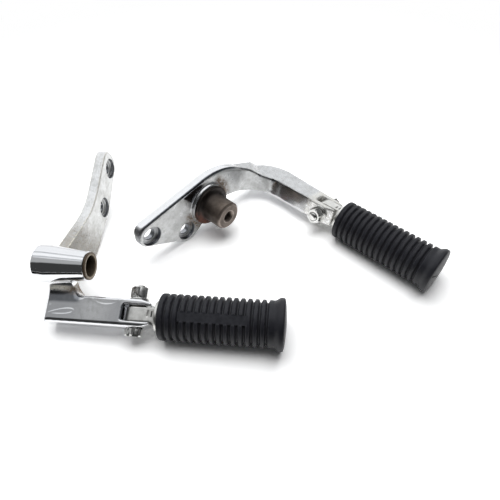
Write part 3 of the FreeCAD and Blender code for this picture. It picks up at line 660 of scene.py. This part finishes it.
def rightZones(mesh, front, fromPost):
    wear = rightWear
    x, y, z, facing = unitState(mesh, "right")
    outward, across, upward = facing.T
    hole = holeDistance(y, z, wear["holes"])
    postY, postZ = y - wear["post"][0], z - wear["post"][1]
    bend, shade, rust, dark, tip = (wear[name] for name in ("bend", "shade", "rust", "darkEdge", "tip"))
    strap = 1 - ease(y, *wear["strapFrom"])
    faceOn = ease(np.abs(outward), *wear["strapFace"])
    bent = (1 - ease(x, *bend["x"])) * ease(outward - across, *bend["turn"]) * (1 - ease(upward, *bend["top"]))
    face = np.maximum(strap * faceOn, bent)
    top = ease(upward, *wear["topTurn"])
    # a straight line across the strap is the lower edge of its dark reflection
    overLine = z - shade["z"] + shade["slope"] * (y - shade["y"])
    shaded = strap * faceOn * ease(overLine, -shade["soft"], shade["soft"]) * (1 - ease(y, *shade["to"]))
    # stains sit on the arm's side of the flange and below it on the other
    side = np.maximum(ease(postY, *rust["armSide"]) * ease(postZ, *rust["armUp"]),
                      ease(-postY, *rust["farSide"]) * ease(-postZ, *rust["farDown"]))
    near = (1 - ease(fromPost, *rust["reach"])) * ease(outward, *wear["strapFace"]) * strap
    return {
        "everywhere": np.ones(len(x)), "front": front, "face": face, "bend": bent, "top": top, "shade": shaded,
        "faceUnshaded": face * (1 - shaded),
        "crown": top * ease(y, *wear["crown"]),
        "rust": near * side,
        "clevis": ease(x, *wear["clevis"]),
        "tip": ease(-across, *tip["turn"]) * (1 - ease(y, *tip["y"])),
        # painted dark reflection along the rounded edge between the strap's face and its top
        "darkEdge": (ease(outward * upward, *dark["turn"]) * (1 - ease(y, *dark["to"]))
                     * ease(hole, *dark["hole"]) * ease(fromPost, *dark["boss"])),
        "seatWall": seatWallZone(hole, outward),
        "seatFloor": (1 - ease(hole, *wear["seatFloor"])) * faceOn,
    }


def rightBracket():
    mesh, pairs, _, y, z = wornCopy("right", rightWear["holes"])
    fromPost = np.hypot(y - rightWear["post"][0], z - rightWear["post"][1])
    roundTopEdge(mesh, pairs, holeDistance(y, z, rightWear["holes"]), fromPost)
    front = leanFront(mesh)
    paint(mesh, rightZones(mesh, front, fromPost), rightCoats)
    return addPiece("rightBracket", mesh, chrome, "brackets", "right_bracket")


leftBracket()
rightBracket()
print("brackets polished")


# rubber sleeves

sleeve = {
    "start": 20.8, "length": 102.0, "ribRadius": 19.2, "ribPitch": 5.75, "grooves": 15, "firstGroove": 5.8,
    "grooveDepth": 2.7, "grooveFoot": 0.15, "grooveMouth": 1.9, "waistRadius": 19.0, "waistRun": 6.0,
    "lipRadius": 21.5, "lipLength": 5.8, "lipGap": 4.0, "lipRise": (-4.5, 1.0), "noseRound": 1.8, "heelRound": 1.2,
    "rodRadius": 7.05, "panelStart": 16.8, "panelLength": 54.6, "panelWidth": 8.4, "panelHeight": 18.4,
    "panelTurn": {"left": 7.0, "right": 165.0}, "stations": 400, "around": 180, "scuff": (1.2, 1.8, 0.3),
    "panelScuffAndHighlight": 0.3, "dust": 0.3, "dustFrom": 0.6, "crown": 1.6, "crownPower": 2.2, "rimInset": 1.0,
    "rimDrop": 0.6, "rimFrom": 0.9, "rimFade": (1.02, 0.98), "capDepth": 3.5, "capDust": 0.5, "chords": 60,
    "slitTurn": -20.0, "slitOff": -2.4, "slitWidth": 1.2, "slitDepth": 2.2, "slitWall": (0.2, 0.5),
    "slitRows": (-0.75, -0.5, -0.35, -0.2, 0, 0.2, 0.35, 0.5, 0.75),
}


def quarterRound(past, radius):
    # drop of a quarter circle: radius * (1 - sqrt(1 - t^2)), t from 0 to 1 over one radius
    t = np.clip(past / radius, 0, 1)
    return radius * (1 - np.sqrt(1 - t * t * 0.999))


def ribbedSleeve(hand):
    # radius = sleeve less a smooth notch between the ribs, waisted and lipped at the end, then a flat panel
    s = sleeve
    end = s["start"] + s["length"]
    lipFrom = end - s["lipLength"]
    x = np.linspace(s["start"], end - s["crown"], s["stations"])
    lastGroove = s["start"] + s["firstGroove"] + (s["grooves"] - 1) * s["ribPitch"]
    turn = fullTurn(s["around"])
    # how far each station lies from the middle of its nearest groove
    beat = (x - s["start"] - s["firstGroove"]) / s["ribPitch"]
    nearest = np.clip(np.round(beat), 0, s["grooves"] - 1)
    off = np.abs(beat - nearest) * s["ribPitch"]
    depth = s["grooveDepth"] * (1 - ease(off, s["grooveFoot"], s["grooveMouth"]))
    waist = (s["waistRadius"] - s["ribRadius"]) * ease(x, lastGroove, lastGroove + s["waistRun"])
    body = s["ribRadius"] + waist
    lip = (s["lipRadius"] - s["waistRadius"]) * ease(x - lipFrom, *s["lipRise"])
    body = np.where(x > lastGroove + s["lipGap"], np.maximum(body, s["waistRadius"] + lip), body)
    body = body - quarterRound(x - (end - s["crown"] - s["noseRound"]), s["noseRound"])
    body = body - quarterRound(s["start"] + s["heelRound"] - x, s["heelRound"])
    radius = np.repeat((body - depth)[:, None], s["around"], axis=1)
    # the panel is a flat across the ribs at its own height, square at its ends
    lean = (turn - math.radians(90 + s["panelTurn"][hand]) + math.pi) % (2 * math.pi) - math.pi
    flat = s["panelHeight"] / np.maximum(np.cos(lean), 0.3)
    inside = (np.abs(np.tan(lean)) * s["panelHeight"] < s["panelWidth"] / 2) & (np.abs(lean) < 1)
    panelFrom = s["start"] + s["panelStart"]
    along = (x > panelFrom) & (x < panelFrom + s["panelLength"])
    panel = along[:, None] & inside[None, :]
    radius = np.where(panel, flat[None, :], radius)
    # rib edges and the panel are paled, part wear and part painted highlight
    ribScuffAndHighlight = between(off, *s["scuff"]) * (x < lastGroove + s["ribPitch"])
    edge = np.where(panel, s["panelScuffAndHighlight"], ribScuffAndHighlight[:, None])
    dust = np.where(panel, 0.0, s["dust"] * (depth / s["grooveDepth"] > s["dustFrom"])[:, None])
    outer = np.stack([np.repeat(x[:, None], s["around"], axis=1), radius * np.cos(turn), radius * np.sin(turn)], -1)
    # the wall goes back inside to the rod's hole, so the sleeve is closed
    bore = np.array([[end - s["crown"], s["rodRadius"]], [s["start"], s["rodRadius"]]])
    points = np.concatenate([outer, turnedPoints(bore, s["around"])])
    bare = np.zeros((len(bore), s["around"]))
    quads = gridFaces(len(points), s["around"], True, True)
    return points.reshape(-1, 3), quads, np.concatenate([edge, bare]).ravel(), np.concatenate([dust, bare]).ravel()


def sleeveEnd():
    # a disc of chords crowned by crown * out^crownPower, with one row of chords sunk to make the slit across it
    s = sleeve
    end = s["start"] + s["length"]
    rim = s["lipRadius"] - s["rimInset"]
    slitRows = (s["slitOff"] + s["slitWidth"] * np.array(s["slitRows"])) / rim
    rows = np.sort(np.concatenate([np.sin(np.linspace(-math.pi / 2, math.pi / 2, s["chords"])), slitRows]))
    t, c = np.meshgrid(rows, np.linspace(-1, 1, s["chords"]), indexing="ij")
    across = c * np.sqrt(np.maximum(1 - t * t, 0)) * rim
    up = t * rim
    out = np.hypot(across, up) / rim
    wallFrom, wallTo = s["slitWall"]
    groove = 1 - ease(np.abs(up - s["slitOff"]) / s["slitWidth"], wallFrom, wallTo)
    face = end - s["crown"] * out ** s["crownPower"] - s["rimDrop"] * ease(out, s["rimFrom"], 1.0)
    face = face - s["slitDepth"] * groove
    lean = math.radians(s["slitTurn"])
    y = across * math.cos(lean) - up * math.sin(lean)
    z = across * math.sin(lean) + up * math.cos(lean)
    front = np.stack([face, y, z], axis=-1)
    back = front.copy()
    back[..., 0] = end - s["crown"] - s["capDepth"]
    n, m = t.shape
    points = np.concatenate([front.reshape(-1, 3), back.reshape(-1, 3)])
    quads = np.concatenate([gridFaces(n, m, False, False), gridFaces(n, m, False, False, n * m)[:, ::-1]])
    # a skirt joins the two discs along their border
    loop = np.concatenate([np.arange(n) * m, (n - 1) * m + np.arange(m), np.arange(n)[::-1] * m + m - 1,
                           np.arange(m)[::-1]])
    loop = loop[np.concatenate([[True], loop[1:] != loop[:-1]])]
    ahead = np.roll(loop, -1)
    skirt = np.stack([loop, ahead, ahead + n * m, loop + n * m], axis=-1)
    dust = s["capDust"] * (1 - groove) * ease(out, *s["rimFade"])
    return points, np.concatenate([quads, skirt]), np.tile(dust.ravel(), 2)


def pegRubber(hand):
    points, quads, edge, dust = ribbedSleeve(hand)
    endPoints, endQuads, endDust = sleeveEnd()
    allQuads = np.concatenate([quads, endQuads + len(points)])
    allPoints = toWorld(np.concatenate([points, endPoints]), hand)
    mesh = meshFrom(hand + "Rubber", allPoints, allQuads)
    setAttribute(mesh, "edge", np.concatenate([edge, np.zeros(len(endPoints))]))
    setAttribute(mesh, "dust", np.concatenate([dust, endDust]))
    closeUp(mesh)
    return addPiece(hand + "Rubber", mesh, rubber, hand + "_peg", hand + "_peg_rubber", 50)


for hand in hands:
    pegRubber(hand)
print("rubber sleeves moulded")


# peg cores, washers, bolts and nuts

core = {"voxel": 0.42, "passes": 3, "freedom": 0.5, "notch": (14.0, 15.2, 0.35), "notchSide": (-2.5, 2.5, 0.3),
        "notchFloor": (6.0, 6.5)}
hinge = {
    "armHalf": 11.6, "flats": 13.8, "ringInset": 0.3, "cornerOver": 0.2, "headHeight": 6.6, "headDish": 0.35,
    "dishRings": (1.6, 0.9), "headChamfers": (1.0, 0.5), "nutHeight": 9.8, "nutChamfers": (0.9, 1.0), "nutGap": 0.25,
    "nutMouth": 0.9, "washerThick": 1.4, "washerRadius": 8.5, "washerRounds": (0.35, 0.2), "boltRadius": 4.0,
    "boltEnd": 1.8, "noseCut": 0.8, "threadPitch": 1.25, "threadDepth": 0.55, "threadRun": (4.0, 2.0), "stations": 260,
    "slotHalf": 6.6, "springSheet": 0.6, "springDish": 0.5, "springRadius": 7.5, "springRound": 0.2, "hole": 4.2,
    "around": 144, "washerAround": 96,
}


def threadWave(station, turn, pitch):
    # saw wave between 0 and 1 that moves on one pitch in each turn
    return np.abs(((station[:, None] / pitch + turn[None, :] / (2 * math.pi)) % 1) * 2 - 1)


def hexRadius(turn, flats):
    # distance from a hexagon's centre to its side
    fold = (turn + math.pi / 6) % (math.pi / 3) - math.pi / 6
    return flats / 2 / np.cos(fold)


def hexPiece(profile, around, flats, side):
    # a profile turned about the hinge axis whose radius is held inside a hexagon
    turn = fullTurn(around)
    limit = hexRadius(turn, flats)
    radius = np.minimum(profile[:, 1:], limit[None, :])
    station = np.repeat(profile[:, :1], around, axis=1) * side
    return np.stack([radius * np.cos(turn), station, radius * np.sin(turn)], axis=-1)


def closedPiece(name, hand, points, finish, closed=True):
    # a hinge fastener from a grid of points; it stands in for the node of the same name
    rows, columns = points.shape[:2]
    title = hand + "".join(word.capitalize() for word in name.split("_"))
    mesh = meshFrom(title, toWorld(points.reshape(-1, 3), hand), gridFaces(rows, columns, closed, True))
    closeUp(mesh)
    return addPiece(title, mesh, finish, "brackets", f"{hand}_{name}", 35)


def hingeNut(hand):
    h = hinge
    wide = h["flats"] / math.sqrt(3) + h["cornerOver"]
    ring = h["flats"] / 2 - h["ringInset"]
    bore = h["boltRadius"] + h["nutGap"]
    seat = h["armHalf"] + h["washerThick"]
    top = seat + h["nutHeight"]
    under, over = h["nutChamfers"]
    profile = roundProfile([(seat, bore), (seat, ring), (seat + under, wide), (top - over, wide), (top, ring),
                            (top, h["boltRadius"] + h["nutMouth"]), (top - h["nutMouth"], bore)], 3)
    closedPiece("hinge_nut", hand, hexPiece(profile, h["around"], h["flats"], hands[hand]), zinc)


def hingeBolt(hand):
    # head, then a shank whose radius is less the thread's depth times its saw wave
    h = hinge
    wide = h["flats"] / math.sqrt(3) + h["cornerOver"]
    ring = h["flats"] / 2 - h["ringInset"]
    under = h["armHalf"]
    top = under + h["headHeight"]
    tip = h["armHalf"] + h["washerThick"] + h["nutHeight"] + h["boltEnd"]
    floor = top - h["headDish"]
    inner, outer = h["dishRings"]
    over, below = h["headChamfers"]
    head = roundProfile([(floor, 0.0), (floor, ring - inner), (top, ring - outer), (top, ring), (top - over, wide),
                         (under + below, wide), (under, ring), (under, h["boltRadius"])], 3)
    headPoints = hexPiece(head, h["around"], h["flats"], -hands[hand])
    turn = fullTurn(h["around"])
    station = np.linspace(-under, tip, h["stations"])
    plainTo, cutFrom = h["threadRun"]
    threaded = ease(station, under - plainTo, under - cutFrom)
    nose = np.clip(station - (tip - h["noseCut"]), 0, h["noseCut"])
    wave = threadWave(station, turn, h["threadPitch"])
    radius = h["boltRadius"] - nose[:, None] - h["threadDepth"] * threaded[:, None] * wave
    shank = np.stack([radius * np.cos(turn), np.repeat(station[:, None], len(turn), 1) * hands[hand],
                      radius * np.sin(turn)], axis=-1)
    tail = np.zeros((1, len(turn), 3))
    tail[..., 1] = tip * hands[hand]
    closedPiece("hinge_bolt", hand, np.concatenate([headPoints, shank, tail]), zinc, False)


def hingeWashers(hand):
    h = hinge
    side = np.array([hands[hand], 1])
    low, high = h["armHalf"], h["armHalf"] + h["washerThick"]
    rimRound, holeRound = h["washerRounds"]
    flat = roundProfile([(low, h["hole"]), (low, h["washerRadius"], rimRound), (high, h["washerRadius"], rimRound),
                         (high, h["hole"], holeRound), (low, h["hole"])], 4)[:-1]
    closedPiece("hinge_washer", hand, turnedPoints(flat * side, h["washerAround"], axis="y"), zinc)
    seat, dish, sheet = h["slotHalf"], h["springDish"], h["springSheet"]
    cup = roundProfile([(seat - sheet - dish, h["hole"]), (seat - sheet, h["springRadius"], h["springRound"]),
                        (seat, h["springRadius"], h["springRound"]), (seat - dish, h["hole"])], 3)
    closedPiece("spring_washer", hand, turnedPoints(cup * side, h["washerAround"], axis="y"), springSteel)


def pegCore(hand):
    mesh, pairs = evenCopy(hand + "_peg_core", core["voxel"])
    polish(mesh, pairs, core["passes"], np.full(len(mesh.vertices), core["freedom"]))
    x, y, z = toUnit(readPoints(mesh), hand).T
    # a dark notch across the top of the tongue
    notch = between(x, *core["notch"]) * between(y, *core["notchSide"]) * ease(z, *core["notchFloor"])
    setAttribute(mesh, "mark", notch)
    addPiece(hand + "PegCore", mesh, coreSteel, hand + "_peg", hand + "_peg_core")


for hand in hands:
    pegCore(hand)
    hingeNut(hand)
    hingeBolt(hand)
    hingeWashers(hand)
print("hinges fitted")


# bushings in the left tube, and the right bracket's post

bush = {
    "outer": 20.8, "bore": 17.7, "length": 15.0, "flange": 23.2, "flangeThick": 1.5, "offset": 34.6, "rise": 16.3,
    "ends": {"outer": (-41.2, 1), "inner": (-83.0, -1)}, "round": 0.5, "shoulder": 0.2, "around": 128,
    "wornRing": (0.0, 0.7, 0.25), "wornFrom": (0.3, 0.9), "boreSkin": (0.1, 0.4), "boreTo": (0.0, 0.9),
}
post = {
    "offset": -82.2, "drop": -9.3, "seat": -82.4, "back": -95.6, "spigot": 9.0, "flange": 20.2, "flangeThick": 2.8,
    "flangeRounds": (0.4, 0.8), "radius": 13.9, "length": 23.0, "root": 3.5, "chamfer": 1.8, "tipRounds": (0.6, 0.5),
    "endRings": (11.2, 10.2, 8.2, 7.2), "bore": 4.5, "boreDepth": 18.0, "mouth": 1.9, "mouthRound": 0.3,
    "threadPitch": 1.25, "threadDepth": 0.45, "threadLead": 0.05, "threadStart": 0.8, "stations": 150,
    "drillPoint": 1.5, "around": 160,
    "mouthRing": (0.4, 2.2, 0.4), "rimRing": (-2.0, -0.5, 0.5), "endFace": (-2.0, -1.2), "mouthFade": (0.0, 0.5),
    "soot": (1.0, 9.0), "rustLean": 0.35, "rustBelow": (5.0, 13.0), "rustTo": (1.0, 5.0), "rustOut": (13.0, 17.0),
}


def bushing(which):
    b = bush
    end, out = b["ends"][which]
    bore, outer, flange = b["bore"] / 2, b["outer"] / 2, b["flange"] / 2
    tip = end + out * b["flangeThick"]
    deep = end - out * b["length"]
    profile = roundProfile([(deep, bore), (tip, bore, b["round"]), (tip, flange, b["round"]),
                            (end, flange, b["shoulder"]), (end, outer), (deep, outer)], 5)
    points = turnedPoints(profile, b["around"], (b["offset"], b["rise"]))
    quads = gridFaces(*points.shape[:2], True, True)
    mesh = meshFrom(which + "Bushing", toWorld(points.reshape(-1, 3), "left"), quads)
    closeUp(mesh)
    x, y, z = toUnit(readPoints(mesh), "left").T
    past = (x - end) * out
    overBore = np.hypot(y - b["offset"], z - b["rise"]) - bore
    setAttribute(mesh, "worn", between(overBore, *b["wornRing"]) * ease(past, *b["wornFrom"]))
    setAttribute(mesh, "bore", (1 - ease(overBore, *b["boreSkin"])) * (1 - ease(past, *b["boreTo"])))
    addPiece(which + "Bushing", mesh, bronze, "brackets", f"left_{which}_bushing", 40)


def pivotPost():
    # the turned outline, with a thread inside the hole whose radius grows by its depth times its saw wave
    p = post
    neck = p["seat"] + p["flangeThick"]
    tip = neck + p["length"]
    mouth = tip - p["mouth"]
    backRound, frontRound = p["flangeRounds"]
    barrelRound, faceRound = p["tipRounds"]
    barrel = roundProfile([(p["back"], 0.0), (p["back"], p["spigot"]), (p["seat"], p["spigot"]),
                           (p["seat"], p["flange"], backRound), (neck, p["flange"], frontRound),
                           (neck, p["radius"], p["root"]), (tip - p["chamfer"], p["radius"], barrelRound),
                           (tip, p["radius"] - p["chamfer"], faceRound), *[(tip, ring) for ring in p["endRings"]],
                           (tip, p["bore"] + p["mouth"], p["mouthRound"]), (mouth, p["bore"])], 5)
    turn = fullTurn(p["around"])
    station = np.linspace(mouth - p["threadLead"], tip - p["boreDepth"], p["stations"])
    deepening = p["threadDepth"] * ease(mouth - station, 0.0, p["threadStart"])
    radius = p["bore"] + threadWave(station, turn, p["threadPitch"]) * deepening[:, None]
    hole = np.stack([np.repeat(station[:, None], p["around"], 1), radius * np.cos(turn), radius * np.sin(turn)], -1)
    floor = np.zeros((1, p["around"], 3))
    floor[..., 0] = station[-1] - p["drillPoint"]
    points = np.concatenate([turnedPoints(barrel, p["around"]), hole, floor]) + np.array([0, p["offset"], p["drop"]])
    quads = gridFaces(*points.shape[:2], False, True)
    mesh = meshFrom("pivotPost", toWorld(points.reshape(-1, 3), "right"), quads)
    closeUp(mesh)
    x, y, z = toUnit(readPoints(mesh), "right").T
    y, z = y - p["offset"], z - p["drop"]
    away = np.hypot(y, z)
    rings = between(away - p["bore"], *p["mouthRing"]) + between(away - p["radius"], *p["rimRing"])
    endFace = ease(x - tip, *p["endFace"])
    setAttribute(mesh, "worn", np.clip(endFace * rings, 0, 1) * (1 - ease(mouth - x, *p["mouthFade"])))
    setAttribute(mesh, "soot", 1 - ease(x - neck, *p["soot"]))
    below = ease(-z - p["rustLean"] * y, *p["rustBelow"])
    setAttribute(mesh, "rust", below * (1 - ease(x - neck, *p["rustTo"])) * ease(away, *p["rustOut"]))
    addPiece("pivotPost", mesh, postSteel, "brackets", "right_pivot_post", 40)


bushing("outer")
bushing("inner")
pivotPost()
print("bushings and post turned")


# floor, light and camera

stage = {"reach": 6.0, "albedo": 0.90, "seenAlbedo": 1.35, "fade": (0.42, 0.75), "under": 0.0002,
         "cardFrom": -0.215, "cardReach": 1.4, "cardAlbedo": 0.02, "cardLift": 0.0001}
sky = {
    "upBack": (0.0, 0.829, 0.559), "grey": (0.0, 0.10), "greyLevel": 0.42, "white": (0.42, 0.54), "whiteLevel": 0.75,
    "room": 0.05, "rightSide": (0.40, 0.65), "rightCut": 0.92, "softCut": 0.55, "tone": (0.97, 0.985, 1.0),
}
softbox = {"place": (-0.02, 0.10, 0.9), "aim": (0.0, 0.0, 0.0), "width": 0.9, "depth": 0.7, "power": 7.5}


def grey(level):
    return colour(level, level, level)


def floorFinish():
    # white paper: the camera and the metal see it a little whiter than the light it throws back
    look = Finish("whitePaper")
    camera, glossy, through = (look.node("ShaderNodeLightPath", out=f"Is {kind} Ray")
                               for kind in ("Camera", "Glossy", "Transmission"))
    seen = camera.atLeast(glossy).atLeast(through)
    tone = seen.tint(grey(stage["albedo"]), grey(stage["seenAlbedo"]))
    paper = look.node("ShaderNodeBsdfDiffuse", None, {"Color": tone})
    # away from the object the camera sees plain white
    far = look.node("ShaderNodeVectorMath", {"operation": "LENGTH"}, {0: look.coords}, out="Value")
    white = look.node("ShaderNodeEmission", None, {"Color": grey(1.0), "Strength": 1.0})
    both = look.node("ShaderNodeMixShader", None, {0: camera * far.step(*stage["fade"]), 1: paper, 2: white})
    look.node("ShaderNodeOutputMaterial", None, {"Surface": both})
    return look.material


def cardFinish():
    # matt black card on the viewer's side, outside the picture, that only reflections show
    look = Finish("blackCard")
    matt = look.node("ShaderNodeBsdfDiffuse", None, {"Color": grey(stage["cardAlbedo"])})
    look.node("ShaderNodeOutputMaterial", None, {"Surface": matt})
    return look.material


def flatSheet(name, low, high, height, finish):
    corners = np.array([[low[0], low[1], height], [high[0], low[1], height],
                        [high[0], high[1], height], [low[0], high[1], height]])
    mesh = meshFrom(name, corners, np.array([[0, 1, 2, 3]]))
    mesh.materials.append(finish)
    sheet = bpy.data.objects.new(name, mesh)
    putIn(sheet)
    return sheet


def studioWorld():
    # bright above and behind, a grey band, and a dark room on the viewer's side and to the right
    world = bpy.data.worlds.new("studio")
    bpy.context.scene.world = world
    world.use_nodes = True
    room = Wire(world.node_tree)
    room.tree.nodes.clear()
    way = room.node("ShaderNodeTexCoord", out="Generated")
    lean = room.node("ShaderNodeVectorMath", {"operation": "DOT_PRODUCT"}, {0: way, 1: sky["upBack"]}, out="Value")
    sideways = room.node("ShaderNodeSeparateXYZ", None, {0: way}, out="X")
    lit = lean.step(*sky["grey"]) * sky["greyLevel"] + lean.step(*sky["white"]) * sky["whiteLevel"]
    level = sky["room"] + lit * (1 - sideways.step(*sky["rightSide"]) * sky["rightCut"])
    camera = room.node("ShaderNodeLightPath", out="Is Camera Ray")
    soft = room.node("ShaderNodeLightPath", out="Is Diffuse Ray")
    tone = camera.tint(colour(*sky["tone"]), grey(1.0))
    strength = camera + (1 - camera) * level * (1 - soft * sky["softCut"])
    shade = room.node("ShaderNodeBackground", None, {"Color": tone, "Strength": strength})
    room.node("ShaderNodeOutputWorld", None, {"Surface": shade})


def softLamp(name, settings):
    # a wide lamp overhead that the metal doesn't mirror
    lamp = bpy.data.lights.new(name, "AREA")
    lamp.shape = "RECTANGLE"
    lamp.size = settings["width"]
    lamp.size_y = settings["depth"]
    lamp.energy = settings["power"]
    holder = bpy.data.objects.new(name, lamp)
    holder.location = settings["place"]
    way = Vector(settings["aim"]) - Vector(settings["place"])
    holder.rotation_euler = way.to_track_quat("-Z", "Y").to_euler()
    holder.visible_glossy = False
    putIn(holder)


view = {"place": (-0.00180, -0.25957, 0.31297), "down": 49.56, "focal": 414.25, "image": 500, "sensor": 36.0,
        "nearest": 0.005}


def photoCamera():
    lens = bpy.data.cameras.new("photoCamera")
    lens.sensor_width = view["sensor"]
    lens.lens = view["focal"] / view["image"] * view["sensor"]
    lens.clip_start = view["nearest"]
    camera = bpy.data.objects.new("photoCamera", lens)
    camera.location = view["place"]
    camera.rotation_euler = (math.radians(90 - view["down"]), 0, 0)
    putIn(camera)
    bpy.context.scene.camera = camera


floorLevel = cadBox[0][2] - stage["under"]
flatSheet("floor", (-stage["reach"],) * 2, (stage["reach"],) * 2, floorLevel, floorFinish())
card = flatSheet("blackCard", (-stage["cardReach"],) * 2, (stage["cardReach"], stage["cardFrom"]),
                 floorLevel + stage["cardLift"], cardFinish())
card.visible_camera = card.visible_shadow = card.visible_diffuse = False
studioWorld()
softLamp("topSoftbox", softbox)
photoCamera()
bpy.context.scene.view_settings.view_transform = "Standard"
print("stage set")
